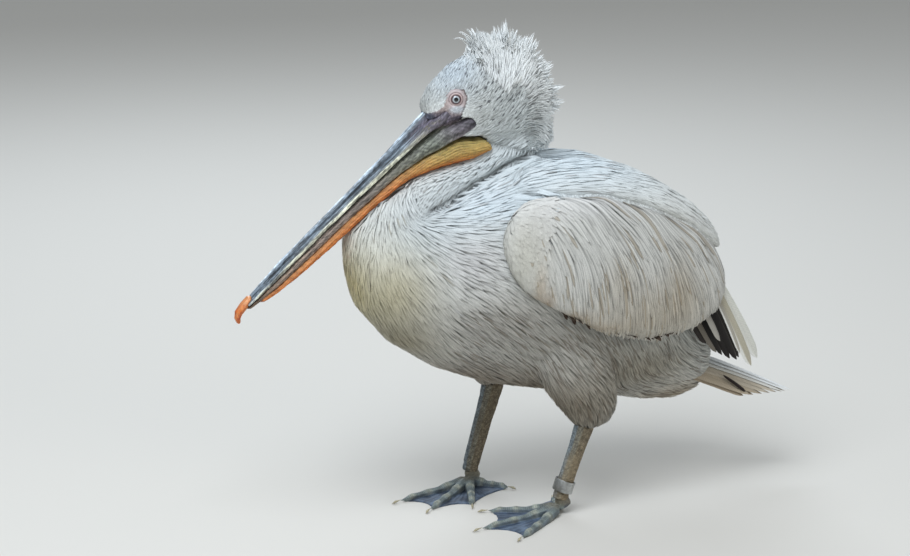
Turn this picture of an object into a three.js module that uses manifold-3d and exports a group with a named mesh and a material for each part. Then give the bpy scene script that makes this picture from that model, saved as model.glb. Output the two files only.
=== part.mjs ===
// A Dalmatian pelican standing at rest, bill laid along its folded neck, as a life-size display model.
// Millimetres, +Z up. The bird faces -X, so its left side is -Y. The design origin lies on the floor between
// the feet, and the last lines move the whole bird so that the origin is under the middle of its box.
import * as THREE from "three";
import { mergeVertices } from "three/addons/utils/BufferGeometryUtils.js";
import Module from "manifold-3d";

const wasm = await Module();
wasm.setup();

// ---------- driving dimensions ----------
const GAP = 0.35; // clearance between touching pieces
const SIDES = { left: -1, right: 1 };

const EYE_AT = [-107.5, 23.5, 600]; // right eye centre; the left one is mirrored
const EYE_RADIUS = 9;

const FEATHER_THICK = 3.2; // a bundle of large feathers, at the middle of its vane
const TOE_RADIUS = 6.2;
const TOE_CLEAR = 3.6; // height of a toe's axis over the floor
const WEB_THICK = 1.8;
const CLAW_LENGTH = 15;

const RING_HEIGHT = 17;
const RING_WALL = 1.4;

// Each leg: where the foot's ankle and the hock are, and the direction of each toe in degrees outward
// from straight ahead. Toe 1 is the short hallux, which turns inward and is webbed to toe 2.
const LEGS = {
  left: { ankle: [28, -85, 24], hock: [67, -88, 137], girth: 1, toes: [-103, -20, 16, 45] },
  right: { ankle: [-47, 85, 24], hock: [-12, 83, 149], girth: 1.1, toes: [-139, -72, -46, -21] },
};
const TOE_LENGTHS = [62, 104, 140, 134];

// ---------- shape helpers ----------
const vec = (p) => new THREE.Vector3(...p);
const curve = (points) => new THREE.CatmullRomCurve3(points.map(vec), false, "centripetal");
const mirrored = (point, side) => [point[0], point[1] * side, point[2]];

function toSolid(geometry) {
  const bare = new THREE.BufferGeometry().setAttribute("position", geometry.getAttribute("position"));
  if (geometry.index) bare.setIndex(geometry.index);
  const merged = mergeVertices(bare, 1e-4);
  const make = (triVerts) =>
    new wasm.Manifold(
      new wasm.Mesh({ numProp: 3, vertProperties: merged.attributes.position.array, triVerts }),
    );
  const triVerts = new Uint32Array(merged.index.array);
  const made = make(triVerts);
  if (made.volume() > 0) return made;
  for (let i = 0; i < triVerts.length; i += 3) {
    [triVerts[i + 1], triVerts[i + 2]] = [triVerts[i + 2], triVerts[i + 1]];
  }
  return make(triVerts);
}

// Share of full size at t along a form whose ends are rounded over the lengths `noses`.
function nose(t, noses) {
  const end = (distance, length) =>
    length > 0 && distance < length ? Math.sqrt(Math.max(0, 1 - (1 - distance / length) ** 2)) : 1;
  return end(t, noses[0]) * end(1 - t, noses[1]);
}

// A closed form through ribs. A rib is [top point, bottom point, half width]: an oval whose long axis runs
// from top to bottom. `grow` swells it all round, to cut its neighbours clear of it.
function ribForm(ribs, { around = 20, steps = 14, noses = [0.12, 0.12], power = 2, grow = 0 } = {}) {
  const tops = curve(ribs.map((rib) => rib[0]));
  const bottoms = curve(ribs.map((rib) => rib[1]));
  const widths = curve(ribs.map((rib, i) => [rib[2], i, 0]));
  const rings = [];
  for (let i = 0; i <= steps; i++) {
    const t = (1 - Math.cos((Math.PI * i) / steps)) / 2;
    const top = tops.getPoint(t);
    const bottom = bottoms.getPoint(t);
    const centre = top.clone().add(bottom).multiplyScalar(0.5);
    const up = top.clone().sub(bottom).multiplyScalar(0.5);
    const along = tops.getTangent(t).add(bottoms.getTangent(t));
    const across = new THREE.Vector3().crossVectors(up, along).normalize();
    const size = nose(t, noses);
    centre.addScaledVector(along.normalize(), grow * (t - 0.5) * 2);
    const tall = Math.max(up.length() * size + grow, 0.02);
    const wide = Math.max(widths.getPoint(t).x * size + grow, 0.02);
    up.normalize();
    const ring = [];
    for (let k = 0; k < around; k++) {
      const angle = (2 * Math.PI * k) / around;
      const c = Math.cos(angle);
      const s = Math.sin(angle);
      const point = centre.clone();
      point.addScaledVector(up, tall * Math.sign(c) * Math.abs(c) ** (2 / power));
      point.addScaledVector(across, wide * Math.sign(s) * Math.abs(s) ** (2 / power));
      ring.push(point);
    }
    rings.push(ring);
  }
  return toSolid(skinRings(rings));
}

// Joins rings of equal length into one closed surface, with a middle point closing each end.
function skinRings(rings) {
  const around = rings[0].length;
  const middle = (ring) => ring.reduce((sum, p) => sum.add(p), new THREE.Vector3()).divideScalar(around);
  const points = rings.flat().concat([middle(rings[0]), middle(rings.at(-1))]);
  const first = points.length - 2;
  const last = points.length - 1;
  const index = [];
  for (let i = 0; i < rings.length - 1; i++) {
    for (let k = 0; k < around; k++) {
      const a = i * around + k;
      const b = i * around + ((k + 1) % around);
      index.push(a, b, a + around, b, b + around, a + around);
    }
  }
  for (let k = 0; k < around; k++) {
    const next = (k + 1) % around;
    index.push(first, next, k, last, (rings.length - 1) * around + k, (rings.length - 1) * around + next);
  }
  return new THREE.BufferGeometry().setFromPoints(points).setIndex(index);
}

// A round form along a path of points, with a radius at each; `flat` narrows it from side to side.
function limbForm(points, radii, { flat = 1, around = 12, steps = 10, noses = [0.05, 0.05], grow = 0 } = {}) {
  const ribs = points.map((p, i) => {
    const along = vec(points[Math.min(i + 1, points.length - 1)]).sub(vec(points[Math.max(i - 1, 0)]));
    const fore = new THREE.Vector3().crossVectors(along, new THREE.Vector3(0, 1, 0)).normalize();
    const place = (sign) => vec(p).addScaledVector(fore, sign * radii[i]).toArray();
    return [place(-1), place(1), radii[i] * flat];
  });
  return ribForm(ribs, { around, steps, noses, grow });
}

// One large feather: a thin blade from root to tip, spread along `spread` and bowed by `sag` at its middle.
function featherForm(root, tip, half, spread, { sag = [0, 0, 0], thick = FEATHER_THICK, grow = 0 } = {}) {
  const across = vec(spread).normalize();
  const shares = [0, 0.25, 0.6, 0.85, 1];
  const fullness = [0.7, 1, 1, 0.86, 0.5];
  const ribs = shares.map((share, i) => {
    const middle = vec(root).lerp(vec(tip), share).addScaledVector(vec(sag), 4 * share * (1 - share));
    const place = (sign) => middle.clone().addScaledVector(across, sign * half * fullness[i]).toArray();
    return [place(1), place(-1), (thick / 2) * (1.25 - 0.5 * share)];
  });
  return ribForm(ribs, { around: 4, steps: 4, noses: [0.02, 0.1], grow });
}

const union = (solids) => solids.reduce((all, solid) => all.add(solid));
const carve = (solid, cutters) => cutters.reduce((left, cutter) => left.subtract(cutter), solid);

// The largest of the separate bodies that a cut leaves.
function mainBody(solid) {
  return solid.decompose().reduce((best, body) => (body.volume() > best.volume() ? body : best));
}

function block(size, at, turn = [0, 0, 0]) {
  const geometry = new THREE.BoxGeometry(...size).toNonIndexed();
  geometry.applyMatrix4(new THREE.Matrix4().makeRotationFromEuler(new THREE.Euler(...turn)));
  geometry.translate(...at);
  return toSolid(geometry);
}

// ---------- trunk, neck and head ----------
const trunkForm = (grow = 0) =>
  ribForm(
    [
      [[-264, 0, 402], [-264, 0, 366], 36],
      [[-236, 0, 432], [-244, 0, 302], 70],
      [[-168, 0, 458], [-180, 0, 237], 96],
      [[-85, 0, 487], [-98, 0, 196], 110],
      [[-5, 0, 506], [-10, 0, 171], 116],
      [[92, 0, 490], [78, 0, 158], 112],
      [[170, 0, 454], [152, 0, 142], 96],
      [[232, 0, 390], [216, 0, 130], 70],
      [[270, 0, 306], [268, 0, 141], 43],
      [[292, 0, 234], [294, 0, 164], 26],
    ],
    { around: 22, steps: 14, noses: [0.14, 0.08], power: 2.15, grow },
  );

const neckForm = (grow = 0) =>
  ribForm(
    [
      [[-22, 0, 580], [40, 0, 560], 31],
      [[-42, 0, 543], [39, 0, 522], 34],
      [[-76, 0, 521], [-12, 0, 484], 36],
      [[-130, 0, 505], [-84, 0, 446], 41],
      [[-192, 0, 484], [-136, 0, 404], 50],
      [[-250, 0, 443], [-160, 0, 372], 60],
      [[-267, 0, 404], [-184, 0, 342], 62],
      [[-252, 0, 362], [-196, 0, 322], 52],
    ],
    { around: 16, steps: 10, noses: [0.04, 0.1], grow },
  );

const headForm = (grow = 0) =>
  ribForm(
    [
      [[-154, 0, 580], [-138, 0, 550], 18],
      [[-146, 0, 609], [-114, 0, 520], 27],
      [[-114, 0, 643], [-84, 0, 503], 30],
      [[-72, 0, 664], [-46, 0, 502], 35.5],
      [[-24, 0, 669], [-8, 0, 508], 40],
      [[12, 0, 648], [18, 0, 522], 38],
      [[32, 0, 612], [36, 0, 552], 28],
    ],
    { around: 16, steps: 10, noses: [0.06, 0.16], grow },
  );

// ---------- bill ----------
// Points down the ridge of the bill, from its base to its tip, with what lies square below each:
// the depth of the upper bill, of the lower jaw and of the pouch, and the half width.
const BILL_RIDGE = [
  { at: [-125, 603], upper: 34, jaw: 22, pouch: 20, half: 29 },
  { at: [-151, 578], upper: 24, jaw: 27, pouch: 33, half: 27 },
  { at: [-182, 547], upper: 19, jaw: 20, pouch: 19, half: 23 },
  { at: [-211, 519], upper: 17, jaw: 16, pouch: 13, half: 19 },
  { at: [-256, 477], upper: 15, jaw: 13, pouch: 13, half: 16 },
  { at: [-304, 434], upper: 14, jaw: 12.5, pouch: 12, half: 15 },
  { at: [-349, 393], upper: 13, jaw: 11, pouch: 9, half: 16 },
  { at: [-379, 364], upper: 11.5, jaw: 9, pouch: 6, half: 16 },
  { at: [-403, 339], upper: 9, jaw: 5, pouch: 3, half: 13 },
  { at: [-415, 326], upper: 7.5, jaw: 3, pouch: 1.5, half: 9 },
];
const DOWN_FROM_RIDGE = [0.688, 0, -0.726];
const belowRidge = ({ at: [x, z] }, depth) =>
  vec([x, 0, z]).addScaledVector(vec(DOWN_FROM_RIDGE), depth).toArray();

function upperBillForm(grow = 0) {
  const plate = BILL_RIDGE.map((s) => [belowRidge(s, s.upper * 0.42), belowRidge(s, s.upper), s.half]);
  const ridge = BILL_RIDGE.map((s) => [belowRidge(s, 0), belowRidge(s, s.upper * 0.85), s.half * 0.36]);
  return ribForm(plate, { around: 10, steps: 8, noses: [0.02, 0.05], power: 2.6, grow }).add(
    ribForm(ridge, { around: 8, steps: 8, noses: [0.02, 0.04], grow }),
  );
}

// The lower jaw runs back past the upper bill, to a rounded end on each cheek.
const JAW_END = [[-79, 0, 583], [-63, 0, 560], 39];
function lowerBillForm(grow = 0) {
  const ribs = BILL_RIDGE.slice(1).map((s) => [
    belowRidge(s, s.upper + GAP),
    belowRidge(s, s.upper + s.jaw),
    s.half + 1,
  ]);
  return ribForm([JAW_END, ...ribs], { around: 12, steps: 10, noses: [0.05, 0.05], power: 2.6, grow });
}

// The bare pouch hangs under the jaw and ends in a rounded lobe below each cheek.
const POUCH_END = [[-65, 0, 550], [-51, 0, 523], 42];
function pouchForm(grow = 0) {
  const ribs = BILL_RIDGE.slice(1, -1).map((s) => [
    belowRidge(s, s.upper + s.jaw - 3),
    belowRidge(s, s.upper + s.jaw + s.pouch),
    s.half + 3,
  ]);
  return ribForm([POUCH_END, ...ribs], { around: 12, steps: 10, noses: [0.06, 0.03], power: 2.3, grow });
}

const nailForm = (grow = 0) =>
  ribForm(
    [
      [[-404, 0, 341], [-398, 0, 334], 7],
      [[-416, 0, 329], [-409, 0, 319], 8.5],
      [[-425, 0, 317], [-415, 0, 312], 7.5],
      [[-426, 0, 307], [-417, 0, 307], 4.5],
      [[-421, 0, 298], [-417, 0, 299], 2],
    ],
    { around: 8, steps: 6, noses: [0.1, 0.06], grow },
  );

const eyeForm = (side, grow = 0) =>
  toSolid(new THREE.SphereGeometry(EYE_RADIUS + grow, 10, 7).translate(...mirrored(EYE_AT, side)));

// ---------- crest ----------
// A cap of feathers over the crown and nape, with rows of loose locks that stand out from it.
const CREST_CENTRE = [-26, 0, 590];
const CREST_ROWS = [
  { y: 0, root: 50, reach: 106, locks: 10 },
  { y: 18, root: 48, reach: 99, locks: 7 },
  { y: 30, root: 44, reach: 85, locks: 5 },
];
const CREST_FROM = 118; // degrees from straight back, over the crown
const CREST_TO = -42;

function crestLock(row, share, side, number) {
  const angle = THREE.MathUtils.degToRad(CREST_FROM + (CREST_TO - CREST_FROM) * share);
  const reach = row.reach * (1 - 0.07 * Math.abs(Math.sin(number * 2.4)) - 0.17 * share ** 0.7);
  const out = vec([0.95 * Math.cos(angle), 0, 1.12 * Math.sin(angle)]);
  const at = (radius, widen) =>
    vec(CREST_CENTRE).addScaledVector(out, radius).setY(side * row.y * widen).toArray();
  return limbForm([at(row.root, 0.85), at(reach, 1.15)], [12, 1], { around: 4, steps: 1, noses: [0, 0] });
}

// The lock that curls forward over the crown.
const FORELOCK = [[-48, 0, 662], [-80, 2, 692], [-98, 3, 684]];

function crestForm() {
  const locks = [limbForm(FORELOCK, [8, 5, 1.2], { around: 5, steps: 3, noses: [0, 0] })];
  for (const row of CREST_ROWS) {
    for (const side of row.y ? [-1, 1] : [1]) {
      for (let i = 0; i < row.locks; i++) locks.push(crestLock(row, i / (row.locks - 1), side, locks.length));
    }
  }
  const cap = headForm(5).subtract(block([90, 120, 260], [-118, 0, 590], [0, 0.35, 0]));
  return mainBody(union([cap, ...locks]));
}

// ---------- wings and tail ----------
// Ribs down the folded wing, from the wrist in front to the end of the coverts.
const WING_RIBS = [
  [[-68, 108, 436], [-72, 116, 388], 17],
  [[-40, 106, 464], [-48, 119, 346], 21],
  [[0, 102, 470], [2, 121, 312], 22],
  [[88, 96, 466], [80, 119, 270], 22],
  [[172, 82, 436], [160, 112, 252], 21],
  [[252, 60, 392], [242, 96, 264], 18],
  [[292, 46, 346], [286, 78, 290], 13],
];
const wingForm = (side, grow = 0) =>
  ribForm(
    WING_RIBS.map(([top, bottom, half]) => [mirrored(top, side), mirrored(bottom, side), half]),
    { around: 14, steps: 10, noses: [0.14, 0.1], power: 2.3, grow },
  );

// The shoulder feathers lie along the back over the wing's top edge and end in a point over the rump.
const MANTLE_RIBS = [
  [[-40, 46, 503], [-36, 94, 468], 8],
  [[50, 24, 507], [52, 98, 464], 12],
  [[140, 16, 486], [145, 92, 448], 13],
  [[216, 12, 447], [224, 76, 408], 13],
  [[262, 10, 412], [276, 56, 368], 11],
  [[290, 9, 380], [298, 38, 346], 7],
];
const mantleForm = (side, grow = 0) =>
  ribForm(
    MANTLE_RIBS.map(([top, bottom, half]) => [mirrored(top, side), mirrored(bottom, side), half]),
    { around: 10, steps: 8, noses: [0.1, 0.12], power: 2.4, grow },
  );

// Flight feathers that show behind the coverts, fanned from the wing's end down and back.
const FLIGHT = { count: 5, rootFrom: [214, 84, 300], rootTo: [276, 60, 334] };
const FLIGHT_TIPS = { from: [246, 80, 240], to: [315, 62, 198] };
const TERTIALS = [
  { root: [276, 38, 356], tip: [351, 46, 196], half: 11 },
  { root: [264, 43, 344], tip: [338, 50, 200], half: 9 },
];

function flightForm(side) {
  const blades = [];
  for (let i = 0; i < FLIGHT.count; i++) {
    const share = i / (FLIGHT.count - 1);
    const root = vec(FLIGHT.rootFrom).lerp(vec(FLIGHT.rootTo), share).toArray();
    const tip = vec(FLIGHT_TIPS.from).lerp(vec(FLIGHT_TIPS.to), share).toArray();
    blades.push(
      featherForm(mirrored(root, side), mirrored(tip, side), 12.5, [0.84, -0.32 * side, 0.44], {
        sag: [4, 3 * side, 0],
      }),
    );
  }
  return union(blades);
}

function tertialForm(side) {
  return union(
    TERTIALS.map(({ root, tip, half }) =>
      featherForm(mirrored(root, side), mirrored(tip, side), half, [0.85, -0.32 * side, 0.42], {
        sag: [5, 2 * side, 3],
        thick: 4,
      }),
    ),
  );
}

const TAIL = { root: [226, 0, 208], tip: [412, 0, 141], pairs: 3, spread: 16, arch: 6, half: 21 };
function tailForm() {
  const length = vec(TAIL.tip).distanceTo(vec(TAIL.root));
  const along = vec(TAIL.tip).sub(vec(TAIL.root)).normalize();
  const blades = [];
  for (let i = -TAIL.pairs; i <= TAIL.pairs; i++) {
    const share = i / TAIL.pairs;
    const turn = THREE.MathUtils.degToRad(TAIL.spread * share);
    const reach = length * (1 - 0.14 * share * share);
    const root = vec(TAIL.root).add(vec([0, 16 * share, -5 * share * share]));
    const tip = root.clone().addScaledVector(along, reach * Math.cos(turn));
    tip.add(vec([0, reach * Math.sin(turn), -TAIL.arch * share * share]));
    blades.push(
      featherForm(root.toArray(), tip.toArray(), TAIL.half, [0.1, 1, -0.55 * share], { thick: 4.4 }),
    );
  }
  return union(blades);
}

// ---------- legs and feet ----------
const THIGHS = {
  left: { points: [[34, -62, 268], [54, -76, 206], [74, -86, 160], [82, -89, 125]], radii: [58, 54, 42, 25] },
  right: { points: [[-26, 62, 268], [-22, 74, 216], [-14, 81, 178], [-10, 83, 152]], radii: [52, 46, 34, 23] },
};
const thighForm = (name, grow = 0) =>
  limbForm(THIGHS[name].points, THIGHS[name].radii, { flat: 0.72, steps: 7, noses: [0.1, 0.12], grow });

// The scaly shank, deeper from front to back than it is wide, with a knob at each end.
function shankForm(name, grow = 0) {
  const { ankle, hock, girth } = LEGS[name];
  const at = (share, lift = 0) => vec(ankle).lerp(vec(hock), share).add(vec([0, 0, lift])).toArray();
  const points = [at(0, -6), at(0.12), at(0.35), at(0.65), at(0.88), at(1), at(1.1)];
  const radii = [11.5, 12, 12, 13, 15, 16, 13].map((radius) => radius * girth);
  return limbForm(points, radii, { flat: 0.8, around: 10, steps: 8, grow });
}

const toeDirection = (name, number) => {
  const angle = THREE.MathUtils.degToRad(LEGS[name].toes[number]);
  return new THREE.Vector3(-Math.cos(angle), Math.sin(angle) * SIDES[name], 0);
};
const toeTip = (name, number) =>
  vec(LEGS[name].ankle).setZ(TOE_CLEAR).addScaledVector(toeDirection(name, number), TOE_LENGTHS[number]);

function toeForm(name, number) {
  const ankle = vec(LEGS[name].ankle);
  const low = ankle.clone().setZ(TOE_CLEAR + 9);
  const tip = toeTip(name, number);
  const rest = ankle.clone().setZ(TOE_CLEAR);
  const points = [low, rest.clone().lerp(tip, 0.22).setZ(TOE_CLEAR + 2.5)];
  points.push(...[0.45, 0.7, 1].map((share) => rest.clone().lerp(tip, share)));
  const radii = [9, 7.4, TOE_RADIUS, TOE_RADIUS * 0.92, TOE_RADIUS * 0.66];
  const side = new THREE.Vector3(0, 0, 1);
  const ribs = points.map((p, i) => [
    p.clone().addScaledVector(side, radii[i]).toArray(),
    p.clone().addScaledVector(side, -radii[i]).toArray(),
    radii[i],
  ]);
  return ribForm(ribs, { around: 6, steps: 4, noses: [0.05, 0.05] });
}

// The skin between two neighbouring toes, with a hollow outer edge.
function webForm(name, number) {
  const ankle = vec(LEGS[name].ankle);
  const from = toeTip(name, number).lerp(ankle, 0.07);
  const to = toeTip(name, number + 1).lerp(ankle, 0.07);
  const hollow = from.clone().add(to).multiplyScalar(0.5).lerp(ankle, 0.24);
  const outline = new THREE.Shape();
  outline.moveTo(ankle.x, ankle.y);
  outline.lineTo(from.x, from.y);
  outline.quadraticCurveTo(hollow.x, hollow.y, to.x, to.y);
  outline.closePath();
  const sheet = new THREE.ExtrudeGeometry(outline, {
    depth: WEB_THICK,
    bevelEnabled: false,
    curveSegments: 5,
  });
  return toSolid(sheet);
}

function footForm(name) {
  const pieces = TOE_LENGTHS.map((_, number) => toeForm(name, number));
  for (let number = 0; number < TOE_LENGTHS.length - 1; number++) pieces.push(webForm(name, number));
  const [x, y] = LEGS[name].ankle;
  const heel = limbForm([[x + 9, y, 8], [x + 4, y, 17], [x, y, 26]], [11, 11, 9], { flat: 0.8, around: 8, steps: 4 });
  return union([...pieces, heel]);
}

function clawForm(name, number) {
  const out = toeDirection(name, number);
  const tip = toeTip(name, number);
  const at = (along, z) => tip.clone().addScaledVector(out, along).setZ(z).toArray();
  const long = CLAW_LENGTH * (number === 0 ? 0.8 : 1);
  const ribs = [
    [at(-4, 6.6), at(-4, 2.6), 2.6],
    [at(long * 0.35, 6.4), at(long * 0.35, 2.2), 2.4],
    [at(long * 0.75, 4.2), at(long * 0.75, 1.2), 1.5],
    [at(long, 1.6), at(long, 0.5), 0.5],
  ];
  return ribForm(ribs, { around: 5, steps: 2, noses: [0.05, 0.1] });
}

// A closed band round the left shank, square to it, just above the foot.
function ringForm() {
  const { ankle, hock } = LEGS.left;
  const along = vec(hock).sub(vec(ankle)).normalize();
  const inner = 13.4;
  const half = RING_HEIGHT / 2;
  const wall = [[inner, -half], [inner + RING_WALL, -half], [inner + RING_WALL, half], [inner, half]];
  const profile = [...wall, wall[0]].map(([r, h]) => new THREE.Vector2(r, h));
  const band = new THREE.LatheGeometry(profile, 20);
  band.applyQuaternion(new THREE.Quaternion().setFromUnitVectors(new THREE.Vector3(0, 1, 0), along));
  band.translate(...vec(ankle).addScaledVector(along, 18).toArray());
  return toSolid(band);
}

// ---------- materials ----------
const plumage = { color: 0xe6e4dc, roughness: 0.85, metalness: 0 };
const FINISHES = {
  plumage,
  flight: { color: 0x4a4540, roughness: 0.7, metalness: 0 },
  bill: { color: 0x7d8288, roughness: 0.5, metalness: 0 },
  jaw: { color: 0x7f7a68, roughness: 0.5, metalness: 0 },
  pouch: { color: 0xd98a45, roughness: 0.55, metalness: 0 },
  nail: { color: 0xd07a2a, roughness: 0.4, metalness: 0 },
  eye: { color: 0xd9dcdb, roughness: 0.1, metalness: 0 },
  shank: { color: 0x6c6a58, roughness: 0.7, metalness: 0 },
  foot: { color: 0x55657a, roughness: 0.7, metalness: 0 },
  claw: { color: 0x8a8066, roughness: 0.5, metalness: 0 },
  ring: { color: 0xb9bcbc, roughness: 0.4, metalness: 0.9 },
};
const materials = Object.fromEntries(
  Object.entries(FINISHES).map(([name, look]) => [name, new THREE.MeshStandardMaterial(look)]),
);

// ---------- assembly ----------
const bird = new THREE.Group();

function addPiece(name, solid, finish) {
  const mesh = mainBody(solid).getMesh();
  const geometry = new THREE.BufferGeometry();
  const points = new Float32Array(mesh.numVert * 3);
  for (let i = 0; i < mesh.numVert; i++) {
    points.set(mesh.vertProperties.subarray(i * mesh.numProp, i * mesh.numProp + 3), i * 3);
  }
  geometry.setAttribute("position", new THREE.BufferAttribute(points, 3));
  geometry.setIndex(new THREE.BufferAttribute(new Uint32Array(mesh.triVerts), 1));
  const piece = new THREE.Mesh(geometry, materials[finish]);
  piece.name = name;
  bird.add(piece);
}

// Bill: each layer is cut clear of the one above it.
const billCutters = [upperBillForm(GAP), lowerBillForm(GAP), pouchForm(GAP), nailForm(GAP)];
addPiece("bill_nail", nailForm(), "nail");
addPiece("bill_upper", carve(upperBillForm(), [nailForm(GAP)]), "bill");
addPiece("bill_lower", carve(lowerBillForm(), [upperBillForm(GAP), nailForm(GAP)]), "jaw");
const pouch = carve(pouchForm(), [upperBillForm(GAP), lowerBillForm(GAP), nailForm(GAP)]);
addPiece("pouch", pouch, "pouch");

// Head, neck and trunk: one bird parted where each begins.
const eyeCutters = Object.values(SIDES).map((side) => eyeForm(side, GAP));
addPiece("head", carve(headForm(), [...billCutters, ...eyeCutters]), "plumage");
const crest = carve(crestForm(), [headForm(GAP), neckForm(GAP), trunkForm(GAP), ...billCutters]);
addPiece("crest", crest, "plumage");

const neck = carve(neckForm(), [headForm(GAP), trunkForm(GAP), ...billCutters]);
const NECK_SPLIT = block([500, 300, GAP], [-150, 0, 462], [0, 0.55, 0]);
const neckParts = neck.subtract(NECK_SPLIT).decompose();
neckParts.sort((a, b) => b.volume() - a.volume());
const [lengthA, lengthB] = neckParts;
const height = (solid) => solid.boundingBox().max[2];
addPiece("neck_upper", height(lengthA) > height(lengthB) ? lengthA : lengthB, "plumage");
addPiece("neck_lower", height(lengthA) > height(lengthB) ? lengthB : lengthA, "plumage");
addPiece("trunk", carve(trunkForm(), [headForm(GAP), ...billCutters]), "plumage");

for (const [name, side] of Object.entries(SIDES)) {
  addPiece(`eye_${name}`, eyeForm(side), "eye");

  const wing = carve(wingForm(side), [trunkForm(GAP), thighForm(name, GAP)]);
  addPiece(`wing_${name}_coverts`, wing, "plumage");
  const mantle = carve(mantleForm(side), [trunkForm(GAP), wingForm(side, GAP), neckForm(GAP)]);
  addPiece(`wing_${name}_scapulars`, mantle, "plumage");
  const inner = [trunkForm(GAP), wingForm(side, GAP), mantleForm(side, GAP)];
  const tertials = mainBody(carve(tertialForm(side), inner));
  addPiece(`wing_${name}_tertials`, tertials, "plumage");
  const flight = carve(flightForm(side), [...inner, tertialForm(side)]);
  addPiece(`wing_${name}_primaries`, flight, "flight");

  addPiece(`thigh_${name}`, carve(thighForm(name), [trunkForm(GAP)]), "plumage");
  const foot = carve(footForm(name), [block([600, 600, 40], [0, 0, -20])]);
  const shank = carve(shankForm(name), [thighForm(name, GAP), trunkForm(GAP), footForm(name)]);
  addPiece(`shank_${name}`, shank, "shank");
  addPiece(`foot_${name}`, foot, "foot");
  for (let number = 0; number < TOE_LENGTHS.length; number++) {
    addPiece(`claw_${name}_${number + 1}`, carve(clawForm(name, number), [footForm(name)]), "claw");
  }
}
addPiece("tail", carve(tailForm(), [trunkForm(GAP)]), "plumage");
addPiece("leg_ring", ringForm(), "ring");

const box = new THREE.Box3().setFromObject(bird);
const middle = box.getCenter(new THREE.Vector3());
bird.position.set(-middle.x, -middle.y, -box.min.z);

export default bird;
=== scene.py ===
# %% [markdown]
# # A standing Dalmatian pelican
# A life-size still model: one skin over head, neck, trunk, wings and thighs, a coat of
# separate solid feathers laid over it, a horn bill with its bare pouch, glassy eyes, scaly
# legs with webbed feet, and a plain metal band on the left leg.
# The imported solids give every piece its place. Nothing here moves them.

# %% The frame
import math

import bmesh
import bpy
import numpy as np
from mathutils import Matrix, Vector, noise
from mathutils.bvhtree import BVHTree


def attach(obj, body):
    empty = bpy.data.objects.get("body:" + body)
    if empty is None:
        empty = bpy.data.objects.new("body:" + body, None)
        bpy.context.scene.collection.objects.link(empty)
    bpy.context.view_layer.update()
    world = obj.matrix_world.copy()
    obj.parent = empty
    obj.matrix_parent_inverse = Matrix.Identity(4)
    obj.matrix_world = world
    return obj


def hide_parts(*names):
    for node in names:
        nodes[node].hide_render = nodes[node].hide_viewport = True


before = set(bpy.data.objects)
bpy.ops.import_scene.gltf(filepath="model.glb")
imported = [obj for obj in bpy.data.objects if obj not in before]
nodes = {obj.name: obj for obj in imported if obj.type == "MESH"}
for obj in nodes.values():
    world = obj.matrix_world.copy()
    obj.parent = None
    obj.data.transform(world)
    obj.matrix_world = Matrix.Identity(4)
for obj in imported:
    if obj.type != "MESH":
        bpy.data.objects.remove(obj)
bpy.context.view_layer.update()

# %% [markdown]
# ## Units and small helpers
# The bird's own measures are in millimetres. It faces -X, its left side is -Y, and its middle
# plane is y = 0. The frame's origin is under the middle of the whole bird's box, so one shift
# takes the bird's own millimetres to the frame's metres. The small functions after it turn
# sRGB hex colours to linear light, shape soft edges, and read arrays from a mesh.

# %% Units, colours and arrays
BIRD_SHIFT = np.array((6.9966, 27.5077, 0.0))
SIDES = {"left": -1, "right": 1}  # each side of the bird and its sign in y


def frame_m(points):
    """The bird's own millimetres as the frame's metres."""
    return (np.asarray(points, float) + BIRD_SHIFT) / 1000


def own_mm(points):
    """The frame's metres as the bird's own millimetres."""
    return np.asarray(points, float) * 1000 - BIRD_SHIFT


def linear(code):
    """An sRGB hex colour as linear red, green, blue and 1."""
    parts = [int(code[i : i + 2], 16) / 255 for i in (1, 3, 5)]
    return tuple(p / 12.92 if p <= 0.04045 else ((p + 0.055) / 1.055) ** 2.4 for p in parts) + (1.0,)


def rgb(code):
    """An sRGB hex colour as an array of linear red, green and blue."""
    return np.array(linear(code)[:3])


def blend(colours, code, share):
    """Colours moved towards one more, by a share for every place."""
    return colours + (rgb(code) - colours) * unity(share)[:, None]


def unity(values):
    """Values held between 0 and 1."""
    return np.clip(values, 0, 1)


def between(low, high):
    """A function that rises from 0 at one value to 1 at another."""
    return lambda v: unity((v - low) / (high - low))


def bell(away, wide):
    """1 at no distance, and softly down to 0 past a width."""
    return np.exp(-((away / wide) ** 2))


def cloud(points, place, reach, hard=1):
    """1 at a place, and softly down to 0 past its reach on each axis; a harder one has a crisper edge."""
    return np.exp(-((((points - place) / reach) ** 2).sum(axis=1) ** hard))


def lengths(vectors):
    return np.linalg.norm(vectors, axis=1)


def unit(vectors, least=0.0):
    """Vectors brought to length 1, apart from those shorter than the least length."""
    return vectors / np.maximum(lengths(vectors)[:, None], least)


def one_side(points, sign=1):
    """The same places, all brought to one side of the bird."""
    brought = np.array(points, float)
    brought[:, 1] = sign * np.abs(brought[:, 1])
    return brought


def read_rows(items, key, width, kind=np.float32):
    """One property of every item of a mesh, as rows."""
    values = np.empty(len(items) * width, kind)
    items.foreach_get(key, values)
    return values.reshape(-1, width)


def place_object(name, data):
    obj = bpy.data.objects.new(name, data)
    bpy.context.scene.collection.objects.link(obj)
    return obj


def looking(place_m, way, axis, top):
    """A matrix that stands at a place, with one axis along a direction and another as high as it goes."""
    return Matrix.Translation(Vector(place_m)) @ Vector(way).to_track_quat(axis, top).to_matrix().to_4x4()


# %% [markdown]
# ## Materials
# Each material is built from shader nodes. One function adds a node with its settings and its
# links, and the others are for what comes up again and again: a bit of arithmetic, a value
# mapped to another range, and the last step, where a tone and a relief reach the shader.

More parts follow.
